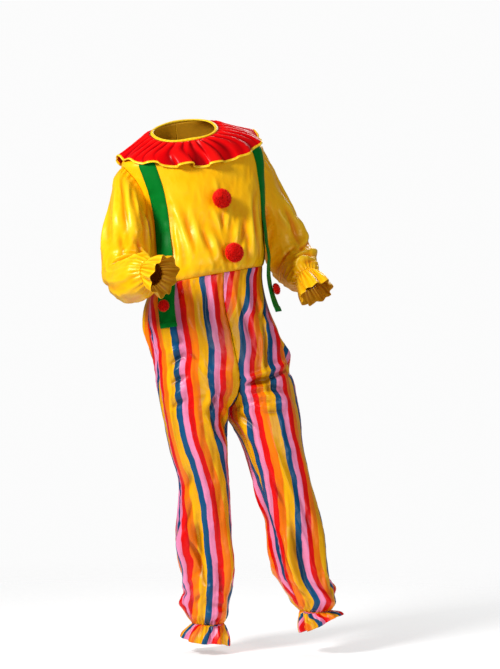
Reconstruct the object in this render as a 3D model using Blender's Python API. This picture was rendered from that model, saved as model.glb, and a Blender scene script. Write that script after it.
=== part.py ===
"""Clown costume: a one-piece suit as worn, held open by its cut, in a relaxed leaning pose.

Yellow bodice and gathered sleeves, striped trousers gathered at the ankles, a red frilled collar bound in
yellow, two green braces and four red pompoms. Metres, +Z up, the chest faces -Y, and the origin is the middle
of the neck opening. The tables below give the garment in the pose frame: right, back and up as it is seen
turned FACING degrees to its own left. built() turns everything to the part's own axes.
"""

import math
from functools import partial

import bpy
import numpy as np

FACING = 25.0                # degrees from the pose frame to the chest's own direction
WALL = 0.0018                # cloth
FRILL_WALL = 0.0014          # collar and frills, of thinner cloth
STRAP_WALL = 0.0016
GAP = 0.0003                 # between pieces at a seam
WAIST_GAP = 0.0005           # at the waist seam, where the panels' columns do not line up
SEAM_SHIFT = 0.00015         # of each half of the trousers away from the middle seam

WAIST = 0.425                # seam of bodice and trousers, below the neck
FORK_TOP = 0.640             # where the front seam starts to curve under
CROTCH = 0.800
THIGH_TOP = 0.540            # where the hip runs over into the leg at the side
THIGH_END = 0.930
CROTCH_AT = (0.125, 0.001)   # right and back of the crotch point
ARMHOLE_TOP = 0.085
ARMHOLE_END = 0.235
ARMHOLE_FRONT = 17.0         # degrees of girth cut away before and behind the side
ARMHOLE_BACK = 30.0

STRAP_WIDTH = 0.046
STRAP_TOP = 0.075            # under the collar
STRAP_CLEAR = 0.0004         # between a strap and the panel under it

POMPOM_RADIUS = 0.029
POMPOM_DEPTH = 0.019
SMALL_POMPOM_RADIUS = 0.0175
SMALL_POMPOM_DEPTH = 0.011

COLLAR_EDGE_SIDE = 0.060     # how far below the neck the collar's edge lies at the shoulders
COLLAR_EDGE_FRONT = 0.117    # and at the front and back
COLLAR_LIFT = 0.0042         # of the collar's outer face over the bodice at the neck
COLLAR_FLARE = 0.0160        # more lift at the collar's edge, as high as its waves are deep
COLLAR_PLEATS = 30
COLLAR_WAVES = 13

TRUNK_COLUMNS = ("down", "rise", "right", "back", "wide", "front", "rear", "nod", "lean", "turn")
TRUNK = (
    (0.000, 0.000, 0.000, 0.000, 0.098, 0.085, 0.070, 28.0, 12.8, 18.0),
    (0.020, 0.003, 0.005, 0.004, 0.138, 0.092, 0.080, 22.0, 12.8, 19.0),
    (0.045, 0.007, 0.011, 0.008, 0.180, 0.098, 0.090, 14.0, 12.5, 20.0),
    (0.065, 0.010, 0.017, 0.010, 0.204, 0.102, 0.098, 9.0, 11.5, 21.0),
    (0.085, 0.012, 0.024, 0.012, 0.216, 0.105, 0.105, 5.0, 10.5, 22.0),
    (0.120, 0.010, 0.035, 0.013, 0.212, 0.109, 0.112, 2.0, 10.0, 23.5),
    (0.160, 0.006, 0.044, 0.012, 0.201, 0.113, 0.118, 0.0, 9.5, 25.0),
    (0.200, 0.003, 0.052, 0.010, 0.192, 0.117, 0.118, 0.0, 9.5, 25.0),
    (0.235, 0.000, 0.056, 0.008, 0.187, 0.120, 0.116, 0.0, 9.5, 25.5),
    (0.290, 0.000, 0.058, 0.004, 0.183, 0.125, 0.112, 0.0, 10.0, 26.5),
    (0.350, 0.000, 0.060, 0.000, 0.182, 0.130, 0.110, 0.0, 11.0, 28.0),
    (0.400, 0.000, 0.060, -0.003, 0.181, 0.132, 0.109, 0.0, 11.0, 28.0),
    (0.425, 0.000, 0.060, -0.003, 0.176, 0.127, 0.107, 0.0, 11.0, 28.0),
    (0.500, 0.000, 0.061, -0.003, 0.181, 0.130, 0.114, 0.0, 9.0, 27.0),
    (0.540, 0.000, 0.068, -0.001, 0.186, 0.131, 0.119, 0.0, 7.5, 26.0),
    (0.577, 0.000, 0.080, 0.000, 0.189, 0.132, 0.124, 0.0, 6.0, 25.0),
    (0.650, 0.000, 0.098, 0.002, 0.195, 0.133, 0.129, 0.0, 3.0, 24.0),
    (0.710, 0.000, 0.115, 0.003, 0.204, 0.133, 0.130, 0.0, 1.0, 23.0),
    (0.780, 0.000, 0.128, 0.004, 0.210, 0.133, 0.130, 0.0, 0.0, 22.0),
    (0.840, 0.000, 0.130, 0.004, 0.212, 0.133, 0.130, 0.0, 0.0, 22.0),
)
LEG_COLUMNS = ("down", "right", "back", "wide", "deep", "turn")
LEGS = {
    "right": (
        (0.600, 0.026, -0.040, 0.101, 0.132, 25.0),
        (0.757, 0.028, -0.035, 0.098, 0.128, 25.0),
        (0.800, 0.029, -0.033, 0.094, 0.124, 25.0),
        (0.838, 0.034, -0.030, 0.092, 0.118, 24.0),
        (0.925, 0.043, -0.025, 0.085, 0.105, 23.0),
        (1.012, 0.058, -0.025, 0.075, 0.090, 22.0),
        (1.099, 0.061, -0.020, 0.077, 0.086, 20.0),
        (1.186, 0.062, -0.014, 0.081, 0.086, 18.0),
        (1.273, 0.074, -0.012, 0.077, 0.084, 16.0),
        (1.335, 0.076, -0.014, 0.066, 0.078, 15.0),
        (1.375, 0.072, -0.014, 0.060, 0.068, 15.0),
        (1.402, 0.070, -0.015, 0.058, 0.062, 15.0),
        (1.424, 0.070, -0.015, 0.045, 0.046, 15.0),
    ),
    "left": (
        (0.600, 0.226, 0.040, 0.098, 0.132, 25.0),
        (0.757, 0.227, 0.038, 0.098, 0.130, 25.0),
        (0.800, 0.230, 0.035, 0.105, 0.125, 26.0),
        (0.838, 0.238, 0.031, 0.103, 0.120, 28.0),
        (0.896, 0.254, 0.024, 0.091, 0.112, 31.0),
        (0.983, 0.277, 0.010, 0.085, 0.100, 35.0),
        (1.070, 0.300, 0.000, 0.080, 0.093, 38.0),
        (1.157, 0.323, -0.008, 0.077, 0.088, 40.0),
        (1.244, 0.340, -0.016, 0.075, 0.086, 40.0),
        (1.300, 0.354, -0.022, 0.073, 0.082, 40.0),
        (1.340, 0.371, -0.028, 0.066, 0.072, 40.0),
        (1.368, 0.378, -0.032, 0.058, 0.060, 40.0),
        (1.385, 0.379, -0.033, 0.044, 0.046, 40.0),
    ),
}
SLEEVE_COLUMNS = ("along", "right", "back", "up", "outer", "fore")
SLEEVES = {
    "right": (
        (0.00, -0.134, -0.070, -0.185, 0.078, 0.052),
        (0.08, -0.146, -0.098, -0.203, 0.079, 0.058),
        (0.17, -0.152, -0.130, -0.230, 0.070, 0.061),
        (0.27, -0.154, -0.150, -0.266, 0.065, 0.063),
        (0.42, -0.154, -0.158, -0.325, 0.066, 0.067),
        (0.55, -0.155, -0.160, -0.378, 0.068, 0.067),
        (0.66, -0.155, -0.174, -0.417, 0.070, 0.066),
        (0.76, -0.146, -0.207, -0.434, 0.067, 0.064),
        (0.86, -0.122, -0.254, -0.433, 0.063, 0.063),
        (0.94, -0.099, -0.286, -0.426, 0.054, 0.054),
        (1.00, -0.080, -0.303, -0.420, 0.036, 0.036),
    ),
    "left": (
        (0.00, 0.221, 0.098, -0.124, 0.078, 0.052),
        (0.08, 0.232, 0.124, -0.150, 0.078, 0.060),
        (0.17, 0.240, 0.148, -0.186, 0.069, 0.066),
        (0.28, 0.252, 0.170, -0.232, 0.062, 0.068),
        (0.42, 0.274, 0.190, -0.287, 0.061, 0.070),
        (0.55, 0.295, 0.195, -0.335, 0.062, 0.070),
        (0.67, 0.313, 0.180, -0.372, 0.060, 0.068),
        (0.79, 0.333, 0.145, -0.400, 0.056, 0.062),
        (0.90, 0.350, 0.110, -0.418, 0.050, 0.054),
        (1.00, 0.361, 0.085, -0.428, 0.036, 0.036),
    ),
}
# Each frill runs from its elastic, where the tube ends, to its free edge.
FRILL_COLUMNS = ("right", "back", "up", "radius", "waves", "depth")
FRILLS = {
    "wrist_frill_right": (-0.043, -0.330, -0.431, 0.056, 9, 0.0050),
    "wrist_frill_left": (0.387, 0.053, -0.470, 0.049, 9, 0.0050),
    "ankle_frill_right": (0.062, -0.018, -1.478, 0.068, 11, 0.0060),
    "ankle_frill_left": (0.396, -0.036, -1.424, 0.064, 11, 0.0060),
}
# Soft folds: ridges stand out of the cloth and troughs, with a negative height, run into it. around is in
# degrees of girth, along in metres below the neck, or in shares of a sleeve, and lean in degrees off the run.
FOLD_COLUMNS = ("around", "along", "lean", "length", "width", "height")
TRUNK_FOLDS = (
    (31.0, 0.345, -3.0, 0.110, 0.019, 0.0121),
    (19.0, 0.360, 2.0, 0.090, 0.017, 0.0102),
    (25.0, 0.370, 0.0, 0.080, 0.014, -0.0081),
    (-14.0, 0.375, -4.0, 0.070, 0.020, 0.0102),
    (-30.0, 0.355, 6.0, 0.090, 0.020, 0.0111),
    (-80.0, 0.340, 5.0, 0.090, 0.023, 0.0111),
    (82.0, 0.340, -5.0, 0.090, 0.023, 0.0111),
    (130.0, 0.330, 4.0, 0.120, 0.023, 0.0132),
    (160.0, 0.345, -4.0, 0.100, 0.022, 0.0111),
    (-130.0, 0.330, -4.0, 0.120, 0.023, 0.0132),
    (-160.0, 0.345, 4.0, 0.100, 0.022, 0.0111),
)
LEG_FOLDS = {
    "right": (
        (22.0, 0.520, 4.0, 0.110, 0.020, 0.0121),
        (52.0, 0.540, -3.0, 0.130, 0.022, 0.0111),
        (120.0, 0.560, 6.0, 0.130, 0.026, 0.0132),
        (38.0, 0.850, -28.0, 0.070, 0.017, -0.0121),
        (62.0, 0.905, -30.0, 0.060, 0.017, 0.0102),
        (150.0, 1.010, 35.0, 0.060, 0.020, -0.0121),
        (125.0, 1.210, 3.0, 0.130, 0.020, -0.0263),
        (155.0, 1.200, -2.0, 0.120, 0.025, 0.0181),
        (60.0, 1.230, 0.0, 0.130, 0.022, 0.0121),
        (20.0, 1.250, 4.0, 0.110, 0.020, -0.0142),
        (195.0, 1.365, 80.0, 0.055, 0.023, 0.0224),
        (90.0, 1.388, 85.0, 0.060, 0.017, 0.0142),
        (270.0, 1.050, 12.0, 0.120, 0.026, 0.0162),
        (230.0, 1.230, -8.0, 0.130, 0.025, 0.0173),
        (310.0, 1.260, 6.0, 0.120, 0.023, 0.0152),
        (250.0, 0.640, 10.0, 0.120, 0.026, 0.0142),
    ),
    "left": (
        (18.0, 0.530, -3.0, 0.120, 0.020, 0.0121),
        (48.0, 0.550, 3.0, 0.120, 0.022, 0.0121),
        (62.0, 0.735, 66.0, 0.085, 0.017, -0.0173),
        (80.0, 0.775, 62.0, 0.070, 0.020, 0.0121),
        (150.0, 0.690, 60.0, 0.070, 0.019, -0.0132),
        (160.0, 0.660, 60.0, 0.070, 0.017, 0.0121),
        (45.0, 1.200, 6.0, 0.130, 0.020, -0.0181),
        (25.0, 1.240, 4.0, 0.120, 0.022, 0.0162),
        (110.0, 1.180, -3.0, 0.140, 0.020, 0.0102),
        (150.0, 1.250, 4.0, 0.110, 0.022, -0.0162),
        (175.0, 1.330, 60.0, 0.050, 0.020, 0.0203),
        (80.0, 1.352, 82.0, 0.060, 0.017, 0.0142),
        (270.0, 1.030, -10.0, 0.120, 0.026, 0.0162),
        (235.0, 1.210, 8.0, 0.130, 0.025, 0.0173),
        (320.0, 1.230, -6.0, 0.120, 0.023, 0.0152),
        (250.0, 0.640, -10.0, 0.120, 0.026, 0.0142),
    ),
}
SLEEVE_FOLDS = {
    "right": (
        (20.0, 0.36, 4.0, 0.100, 0.019, 0.0111),
        (60.0, 0.38, -4.0, 0.110, 0.017, 0.0121),
        (95.0, 0.400, 3.0, 0.100, 0.019, -0.0060),
        (330.0, 0.42, 2.0, 0.110, 0.020, 0.0121),
        (45.0, 0.68, 78.0, 0.055, 0.019, 0.0090),
        (120.0, 0.64, 80.0, 0.050, 0.018, -0.0060),
        (70.0, 0.83, 72.0, 0.050, 0.014, 0.0111),
        (200.0, 0.45, 10.0, 0.090, 0.020, 0.0121),
        (270.0, 0.60, 70.0, 0.060, 0.020, 0.0121),
    ),
    "left": (
        (30.0, 0.38, 3.0, 0.120, 0.019, 0.0121),
        (75.0, 0.42, -3.0, 0.120, 0.019, 0.0132),
        (110.0, 0.45, 4.0, 0.110, 0.017, -0.0132),
        (60.0, 0.72, 60.0, 0.065, 0.020, 0.0142),
        (110.0, 0.82, 68.0, 0.055, 0.017, -0.0121),
        (130.0, 0.88, 75.0, 0.050, 0.016, 0.0121),
        (200.0, 0.60, 25.0, 0.090, 0.020, 0.0132),
        (280.0, 0.50, 10.0, 0.110, 0.022, 0.0132),
    ),
}
TRUNK_GIRTH_RADIUS = 0.150   # turns degrees of girth into metres for the folds
LEG_GIRTH_RADIUS = 0.088
SLEEVE_GIRTH_RADIUS = 0.066
SLEEVE_RUN = 0.440
SLEEVE_FAN = 0.22            # share of a sleeve over which its sections turn at the elbow
SLEEVE_HEAD = 0.40           # share of a sleeve that runs over from the armhole's form
UNDERARM = 0.008             # how far the sleeve first stands off the body under the arm

COLOURS = {
    "yellow_satin": (0.95, 0.55, 0.03),
    "striped_satin": (0.90, 0.30, 0.05),
    "red_satin": (0.78, 0.01, 0.01),
    "yellow_binding": (0.95, 0.63, 0.03),
    "green_strap": (0.01, 0.22, 0.04),
    "red_pompom": (0.90, 0.01, 0.01),
}
ROUGHNESS = {"red_pompom": 0.95, "green_strap": 0.45}


def smooth_through(stations, values):
    """A function that runs smoothly through the values at their stations."""
    slopes = np.gradient(values, stations)

    def value(at):
        at = np.clip(at, stations[0], stations[-1])
        i = np.clip(np.searchsorted(stations, at) - 1, 0, len(stations) - 2)
        step = stations[i + 1] - stations[i]
        s = (at - stations[i]) / step
        start = (1 + 2 * s) * (1 - s) ** 2 * values[i] + s * (1 - s) ** 2 * step * slopes[i]
        end = s * s * (3 - 2 * s) * values[i + 1] - s * s * (1 - s) * step * slopes[i + 1]
        return start + end

    return value


def tracks(columns, rows):
    """One smooth function for each column of a table, by the table's first column."""
    table = np.array(rows, float)
    return {name: smooth_through(table[:, 0], table[:, i]) for i, name in enumerate(columns) if i}


def ease(share):
    """0 to 1 with level ends."""
    s = np.clip(share, 0.0, 1.0)
    return s * s * (3 - 2 * s)


def unit(vectors):
    return vectors / np.maximum(np.linalg.norm(vectors, axis=-1, keepdims=True), 1e-12)


def normals(surface, u, v, facing):
    """Unit normals of surface(u, v), on the side that facing, 1 or -1, says."""
    step_u = 0.02
    step_v = 0.0004
    across = surface(u + step_u, v) - surface(u - step_u, v)
    along = surface(u, v + step_v) - surface(u, v - step_v)
    return facing * unit(np.cross(across, along))


def fold_height(folds, around, along, girth_radius, run=1.0):
    """How far the folds push the cloth out at each point."""
    height = np.zeros(np.broadcast(around, along).shape)
    for fold in folds:
        f = dict(zip(FOLD_COLUMNS, fold))
        turn = (around - f["around"] + 180.0) % 360.0 - 180.0
        x = np.radians(turn) * girth_radius
        y = (along - f["along"]) * run
        lean = math.radians(f["lean"])
        across = x * math.cos(lean) - y * math.sin(lean)
        run_along = (x * math.sin(lean) + y * math.cos(lean)) / f["length"]
        ends = np.where(np.abs(run_along) < 1, np.cos(np.clip(run_along, -1, 1) * math.pi / 2) ** 2, 0.0)
        height = height + f["height"] * ends * np.exp(-((across / f["width"]) ** 2))
    return height


TRUNK_TRACKS = tracks(TRUNK_COLUMNS, TRUNK)
LEG_TRACKS = {side: tracks(LEG_COLUMNS, rows) for side, rows in LEGS.items()}
SLEEVE_TRACKS = {side: tracks(SLEEVE_COLUMNS, rows) for side, rows in SLEEVES.items()}
SIGN = {"right": -1.0, "left": 1.0}
LEG_END = {side: rows[-1][0] for side, rows in LEGS.items()}


def trunk_plain(angle, down):
    """The trunk's surface without folds: angle in degrees from the centre front, to the wearer's left."""
    t = {name: track(down) for name, track in TRUNK_TRACKS.items()}
    a = np.radians(angle)
    fullness = 1 + 0.045 * np.sin(2 * a) ** 2
    x = t["wide"] * np.sin(a) * fullness
    y = -np.where(np.cos(a) > 0, t["front"], t["rear"]) * np.cos(a) * fullness
    nod, lean, turn = (np.radians(t[name]) for name in ("nod", "lean", "turn"))
    y, z = y * np.cos(nod), y * np.sin(nod)
    x, y = x * np.cos(turn) - y * np.sin(turn), x * np.sin(turn) + y * np.cos(turn)
    x, z = x * np.cos(lean) - z * np.sin(lean), x * np.sin(lean) + z * np.cos(lean)
    return np.stack([t["right"] + x, t["back"] + y, t["rise"] + z - down], axis=-1)


def trunk_outward(angle, down):
    return normals(trunk_plain, angle, down, -1)


def trunk(angle, down):
    """The bodice's cloth, folds included."""
    height = fold_height(TRUNK_FOLDS, angle, down, TRUNK_GIRTH_RADIUS) * ease((WAIST - down) / 0.016)
    return trunk_plain(angle, down) + height[..., None] * trunk_outward(angle, down)


def leg_ring(side, around, down):
    """The leg's own section: around in degrees from the inner seam, over the front to the outer seam."""
    t = {name: track(down) for name, track in LEG_TRACKS[side].items()}
    if side == "right":
        angle = np.radians(t["turn"] - around)
    else:
        angle = np.radians(180.0 + t["turn"] + around)
    x = t["right"] + t["wide"] * np.cos(angle)
    y = t["back"] + t["deep"] * np.sin(angle)
    return np.stack([x, y, np.broadcast_to(-down, x.shape)], axis=-1)


def leg_plain(side, around, down):
    """Half the trunk at the top, running over into the leg's own section below the crotch."""
    around, down = np.broadcast_arrays(around, down)
    down = np.minimum(down, LEG_END[side])
    half = trunk_plain(SIGN[side] * around / 2, down)
    ring = leg_ring(side, around, down)
    seam = leg_ring(side, np.zeros_like(down), down)
    crotch = np.stack([np.full_like(down, CROTCH_AT[0]), np.full_like(down, CROTCH_AT[1]), -down], axis=-1)
    from_seam = np.abs((around + 180.0) % 360.0 - 180.0)
    pull = (1 - ease(from_seam / 75.0)) * (1 - ease((down - CROTCH) / 0.060))
    ring = ring + pull[..., None] * (crotch - seam)
    share = np.clip((down - FORK_TOP) / (CROTCH - FORK_TOP), 0.0, 1.0)
    at_fork = 1 - np.sqrt(1 - share**2)
    at_side = ease((down - THIGH_TOP) / (THIGH_END - THIGH_TOP))
    weight = at_side + (at_fork - at_side) * (1 - ease((from_seam - 20.0) / 70.0))
    turn = math.radians(FACING)
    away = SIGN[side] * np.array([math.cos(turn), math.sin(turn), 0.0])
    aside = (SEAM_SHIFT * (1 - ease(from_seam / 75.0)))[..., None] * away
    return half * (1 - weight[..., None]) + ring * weight[..., None] + aside


def leg(side, around, down):
    """One trouser leg's cloth, folds and the gathers over its elastic included."""
    around, down = np.broadcast_arrays(around, down)

    def plain(u, v):
        return leg_plain(side, u, v)

    from_seam = np.abs((around + 180.0) % 360.0 - 180.0)
    height = fold_height(LEG_FOLDS[side], around, down, LEG_GIRTH_RADIUS) * ease(from_seam / 30.0)
    height = height * ease((down - WAIST) / 0.016)
    above = LEG_END[side] - down
    gathers = 0.0025 * ease(above / 0.02) * (1 - ease((above - 0.02) / 0.05)) * np.cos(np.radians(around) * 7)
    return plain(around, down) + (height + gathers)[..., None] * normals(plain, around, down, -SIGN[side])


def armhole(side, around, inset=0.0):
    """The armhole's edge: around in degrees from the shoulder, down the front and up the back."""
    a = np.radians(around)
    middle = (ARMHOLE_TOP + ARMHOLE_END) / 2
    half = (ARMHOLE_END - ARMHOLE_TOP) / 2 - inset
    cut = np.where(np.sin(a) > 0, ARMHOLE_FRONT, ARMHOLE_BACK) - math.degrees(inset / 0.115)
    return trunk(SIGN[side] * (90.0 - cut * np.sin(a)), middle - half * np.cos(a))


def sleeve_axes(side):
    """The sleeve's middle line with its outer and forward directions, carried along without twisting."""
    stations = np.linspace(0.0, 1.0, 81)
    t = SLEEVE_TRACKS[side]
    middle = np.stack([t[name](stations) for name in ("right", "back", "up")], axis=-1)
    along = np.gradient(middle, axis=0)
    nearness = np.exp(-(((stations[:, None] - stations[None, :]) / SLEEVE_FAN) ** 2))
    along = unit(nearness @ unit(along))
    outer = armhole(side, np.array([0.0]))[0] - armhole(side, np.array([180.0]))[0]
    outers = []
    for direction in along:
        outer = unit(outer - np.dot(outer, direction) * direction)
        outers.append(outer)
    outers = np.array(outers)
    fores = -SIGN[side] * np.cross(outers, along)
    tables = [middle, outers, fores]
    return [[smooth_through(stations, table[:, i]) for i in range(3)] for table in tables]


SLEEVE_AXES = {side: sleeve_axes(side) for side in SIGN}


def sleeve_axes_at(side, along):
    """The sleeve's middle, outer and forward vectors at one place."""
    return [np.array([float(f(np.array(along))) for f in axis]) for axis in SLEEVE_AXES[side]]


def sleeve_plain(side, around, along):
    """The sleeve, running over from the armhole's edge into round sections."""
    middle, outer, fore = (np.stack([f(along) for f in axis], axis=-1) for axis in SLEEVE_AXES[side])
    t = SLEEVE_TRACKS[side]
    a = np.radians(around)

    def ring(m, o, f, at):
        return m + (t["outer"](at) * np.cos(a))[..., None] * o + (t["fore"](at) * np.sin(a))[..., None] * f

    start = [np.stack([f(np.zeros_like(along)) for f in axis], axis=-1) for axis in SLEEVE_AXES[side]]
    edge = armhole(side, around, inset=0.0005)
    fade = (1 - ease(along / SLEEVE_HEAD))[..., None]
    turn = math.radians(FACING)
    away = SIGN[side] * np.array([math.cos(turn), math.sin(turn), 0.0])
    rise = np.sin(np.clip(along / 0.10, 0.0, 1.0) * math.pi / 2)
    ease_out = UNDERARM * (1 - np.cos(a)) / 2 * rise * (1 - ease((along - 0.08) / 0.50))
    body = ring(middle, outer, fore, along) + (edge - ring(*start, np.zeros_like(along))) * fade
    return body + ease_out[..., None] * away


def sleeve_outward(side, around, along):
    """Across the cloth near the armhole, and straight away from the sleeve's middle beyond it."""
    points = sleeve_plain(side, around, along)
    away = unit(points - points.mean(axis=1, keepdims=True))
    across = normals(lambda a, s: sleeve_plain(side, a, np.clip(s, 0.0, 1.0)), around, along, SIGN[side])
    share = ease((along - 0.15) / 0.25)[..., None]
    return unit(across * (1 - share) + away * share)


def sleeve(side, around, along):
    """One sleeve's cloth, folds and the gathers over its elastic included."""
    around, along = np.broadcast_arrays(around, along)

    def plain(u, v):
        return sleeve_plain(side, u, np.clip(v, 0.0, 1.0))

    height = fold_height(SLEEVE_FOLDS[side], around, along, SLEEVE_GIRTH_RADIUS, SLEEVE_RUN)
    fade = ease(along / 0.15) * ease((1 - along) / 0.04)
    gathers = 0.002 * ease((1 - along) / 0.03) * ease((along - 0.82) / 0.1) * np.cos(np.radians(around) * 5)
    lift = (height * fade + gathers)[..., None]
    return plain(around, along) + lift * normals(plain, around, along, SIGN[side])


def frill(name, around, out, waves=1.0):
    """A frill from its elastic, out 0, to its free edge, out 1; waves 0 leaves its folds out."""
    f = dict(zip(FRILL_COLUMNS, FRILLS[name]))
    side = name.rsplit("_", 1)[1]
    around, out = np.broadcast_arrays(around, out)
    if name.startswith("wrist"):
        start = sleeve(side, around, np.ones_like(out))
        middle = sleeve_axes_at(side, 1.0)[0]
        a = np.radians(around)
    else:
        start = leg(side, around, np.full_like(out, LEG_END[side]))
        t = {key: float(track(LEG_END[side])) for key, track in LEG_TRACKS[side].items()}
        middle = np.array([t["right"], t["back"], -LEG_END[side]])
        a = np.radians(t["turn"] - around if side == "right" else 180.0 + t["turn"] + around)
    end = np.array([f["right"], f["back"], f["up"]])
    along = unit(end - middle)
    if name.startswith("wrist"):
        outer, fore = sleeve_axes_at(side, 1.0)[1:]
    else:
        outer, fore = np.array([1.0, 0.0, 0.0]), np.array([0.0, 1.0, 0.0])
    outer = unit(outer - np.dot(outer, along) * along)
    fore = unit(fore - np.dot(fore, along) * along - np.dot(fore, outer) * outer)
    spread = np.cos(a)[..., None] * outer + np.sin(a)[..., None] * fore
    ruffle = f["depth"] * waves * np.sin(a * f["waves"] + 0.8 * np.sin(2 * a))
    rim = end + (f["radius"] + ruffle)[..., None] * spread
    drop = end - middle
    length = np.linalg.norm(drop)
    begin = start + along * GAP
    widen = np.sin(np.clip(out, -0.2, 1.2) * math.pi / 2)[..., None]
    across = (rim - begin) - np.sum((rim - begin) * along, axis=-1, keepdims=True) * along
    down = np.sum((rim - begin) * along, axis=-1, keepdims=True) * along
    flutter = (0.25 * ruffle * np.sin(out * math.pi))[..., None] * spread
    droop = (0.06 * length * out**2 * np.sin(a * 3 + 1.0) * waves)[..., None] * along
    return begin + across * widen + down * out[..., None] + flutter + droop


def collar_edge(angle):
    """How far below the neck the collar ends."""
    c = np.cos(np.radians(angle))
    return COLLAR_EDGE_SIDE + (COLLAR_EDGE_FRONT - COLLAR_EDGE_SIDE) * c * c


def collar(angle, out):
    """The frilled collar over the bodice, out 0 at the neck and out 1 at its edge."""
    a = np.radians(angle)
    down = collar_edge(angle) * out * (1 + 0.035 * out * np.sin(COLLAR_WAVES * a + 0.9))
    pleats = 0.0011 * (1 - 0.5 * out) * (1 + np.cos(COLLAR_PLEATS * a + 1.2 * np.sin(3 * a)))
    waves = (1 + np.sin(COLLAR_WAVES * a + 1.1 * np.sin(2 * a + 0.6))) / 2
    uneven = 0.55 + 0.45 * np.cos(3 * a + 0.4)
    lift = COLLAR_LIFT + pleats * ease(out / 0.15) + COLLAR_FLARE * uneven * waves * out**2
    return trunk_plain(angle, down) + lift[..., None] * normals(trunk_plain, angle, down, -1)


def grid(columns, rows):
    """The columns and rows of a panel as two arrays, a row of the panel in each row."""
    return np.broadcast_arrays(np.array(columns, float)[None, :], np.array(rows, float)[:, None])


def material(slot):
    made = bpy.data.materials.get(slot)
    if made is None:
        made = bpy.data.materials.new(slot)
        made.use_nodes = True
        shader = made.node_tree.nodes["Principled BSDF"]
        shader.inputs["Base Color"].default_value = (*COLOURS[slot], 1.0)
        shader.inputs["Roughness"].default_value = ROUGHNESS.get(slot, 0.35)
        shader.inputs["Metallic"].default_value = 0.0
    return made


def outward(points, faces):
    """The faces wound so that they look out of the solid."""
    volume = 0.0
    for face in faces:
        for k in range(1, len(face) - 1):
            volume += np.dot(points[face[0]], np.cross(points[face[k]], points[face[k + 1]]))
    return faces if volume > 0 else [face[::-1] for face in faces]


def built(name, points, faces, slot):
    """A named object from pose-frame points, turned to the part's own axes."""
    faces = outward(points, faces)
    turn = math.radians(-FACING)
    x = points[:, 0] * math.cos(turn) - points[:, 1] * math.sin(turn)
    y = points[:, 0] * math.sin(turn) + points[:, 1] * math.cos(turn)
    mesh = bpy.data.meshes.new(name)
    mesh.from_pydata(np.stack([x, y, points[:, 2]], axis=-1).tolist(), [], faces)
    mesh.materials.append(material(slot))
    mesh.shade_smooth()
    mesh.set_sharp_from_angle(angle=math.radians(50))
    made = bpy.data.objects.new(name, mesh)
    COLLECTION.objects.link(made)
    return made


def wall(name, surface, outward_at, u, v, thick, slot, closed=False):
    """A wall of cloth from the surface inward, against the directions of outward_at.

    closed joins the last column to the first.
    """
    outer = surface(u, v)
    inner = outer - thick * outward_at(u, v)
    rows, columns = u.shape
    count = rows * columns
    points = np.concatenate([outer.reshape(-1, 3), inner.reshape(-1, 3)])
    last = columns if closed else columns - 1
    faces = []
    for r in range(rows - 1):
        for c in range(last):
            a, b = r * columns + c, r * columns + (c + 1) % columns
            faces.append((a, b, b + columns, a + columns))
            faces.append((a + count, a + columns + count, b + columns + count, b + count))
    for c in range(last):
        for r, order in ((0, 1), (rows - 1, -1)):
            a, b = r * columns + c, r * columns + (c + 1) % columns
            faces.append((a, a + count, b + count, b)[::order])
    if not closed:
        for r in range(rows - 1):
            for c, order in ((0, -1), (columns - 1, 1)):
                a, b = r * columns + c, (r + 1) * columns + c
                faces.append((a, a + count, b + count, b)[::order])
    return built(name, points, faces, slot)


def ring_tube(name, middle, side_way, up_way, thick, high, sides, slot):
    """A closed band round a loop of points: thick along side_way and high along up_way."""
    loops = []
    for k in range(sides):
        a = 2 * math.pi * (k + 0.5) / sides
        loops.append(middle + thick / 2 * math.cos(a) * side_way + high / 2 * math.sin(a) * up_way)
    count = len(middle)
    points = np.concatenate(loops)
    faces = []
    for k in range(sides):
        n = (k + 1) % sides
        for i in range(count):
            j = (i + 1) % count
            faces.append((k * count + i, k * count + j, n * count + j, n * count + i))
    return built(name, points, faces, slot)


ARMHOLE_CELLS = 10
SEAM_ANGLE = math.degrees(GAP / 2 / 0.110)


def bodice_rows():
    middle = (ARMHOLE_TOP + ARMHOLE_END) / 2
    half = (ARMHOLE_END - ARMHOLE_TOP) / 2
    hole = [middle - half * math.cos(math.pi * k / ARMHOLE_CELLS) for k in range(ARMHOLE_CELLS + 1)]
    return [0.0, 0.022, 0.045, 0.067, *hole, 0.275, 0.318, 0.360, 0.398, WAIST - WAIST_GAP / 2]


def panel_edge(down, cut):
    """Degrees that an armhole takes off a panel at its side, in one row."""
    if not ARMHOLE_TOP < down < ARMHOLE_END:
        return SEAM_ANGLE
    middle = (ARMHOLE_TOP + ARMHOLE_END) / 2
    half = (ARMHOLE_END - ARMHOLE_TOP) / 2
    return max(SEAM_ANGLE, cut * math.sqrt(1 - ((down - middle) / half) ** 2))


def strap_angle(down):
    """Degrees from the centre front to the middle of a strap."""
    return float(smooth_through(np.array([0.05, 0.11, 0.20, 0.42, 0.55]), np.array([46.0, 51.0, 57.0, 58.0, 54.0]))(down))


def strap_half(down):
    """Half a strap's width in degrees of girth."""
    t = {name: float(track(down)) for name, track in TRUNK_TRACKS.items()}
    a = math.radians(strap_angle(down))
    return math.degrees(STRAP_WIDTH / 2 / math.hypot(t["wide"] * math.cos(a), t["front"] * math.sin(a)))


def front_row(down):
    """The front's column angles on its left half, with columns under both edges of the strap."""
    middle, half = strap_angle(down), strap_half(down)
    edge = 90.0 - panel_edge(down, ARMHOLE_FRONT)
    inner = middle - half
    outer = min(middle + half, edge - 2.0)
    return [*(inner * k / 5 for k in range(1, 6)), (inner + outer) / 2, outer, (outer + edge) / 2, edge]


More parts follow.
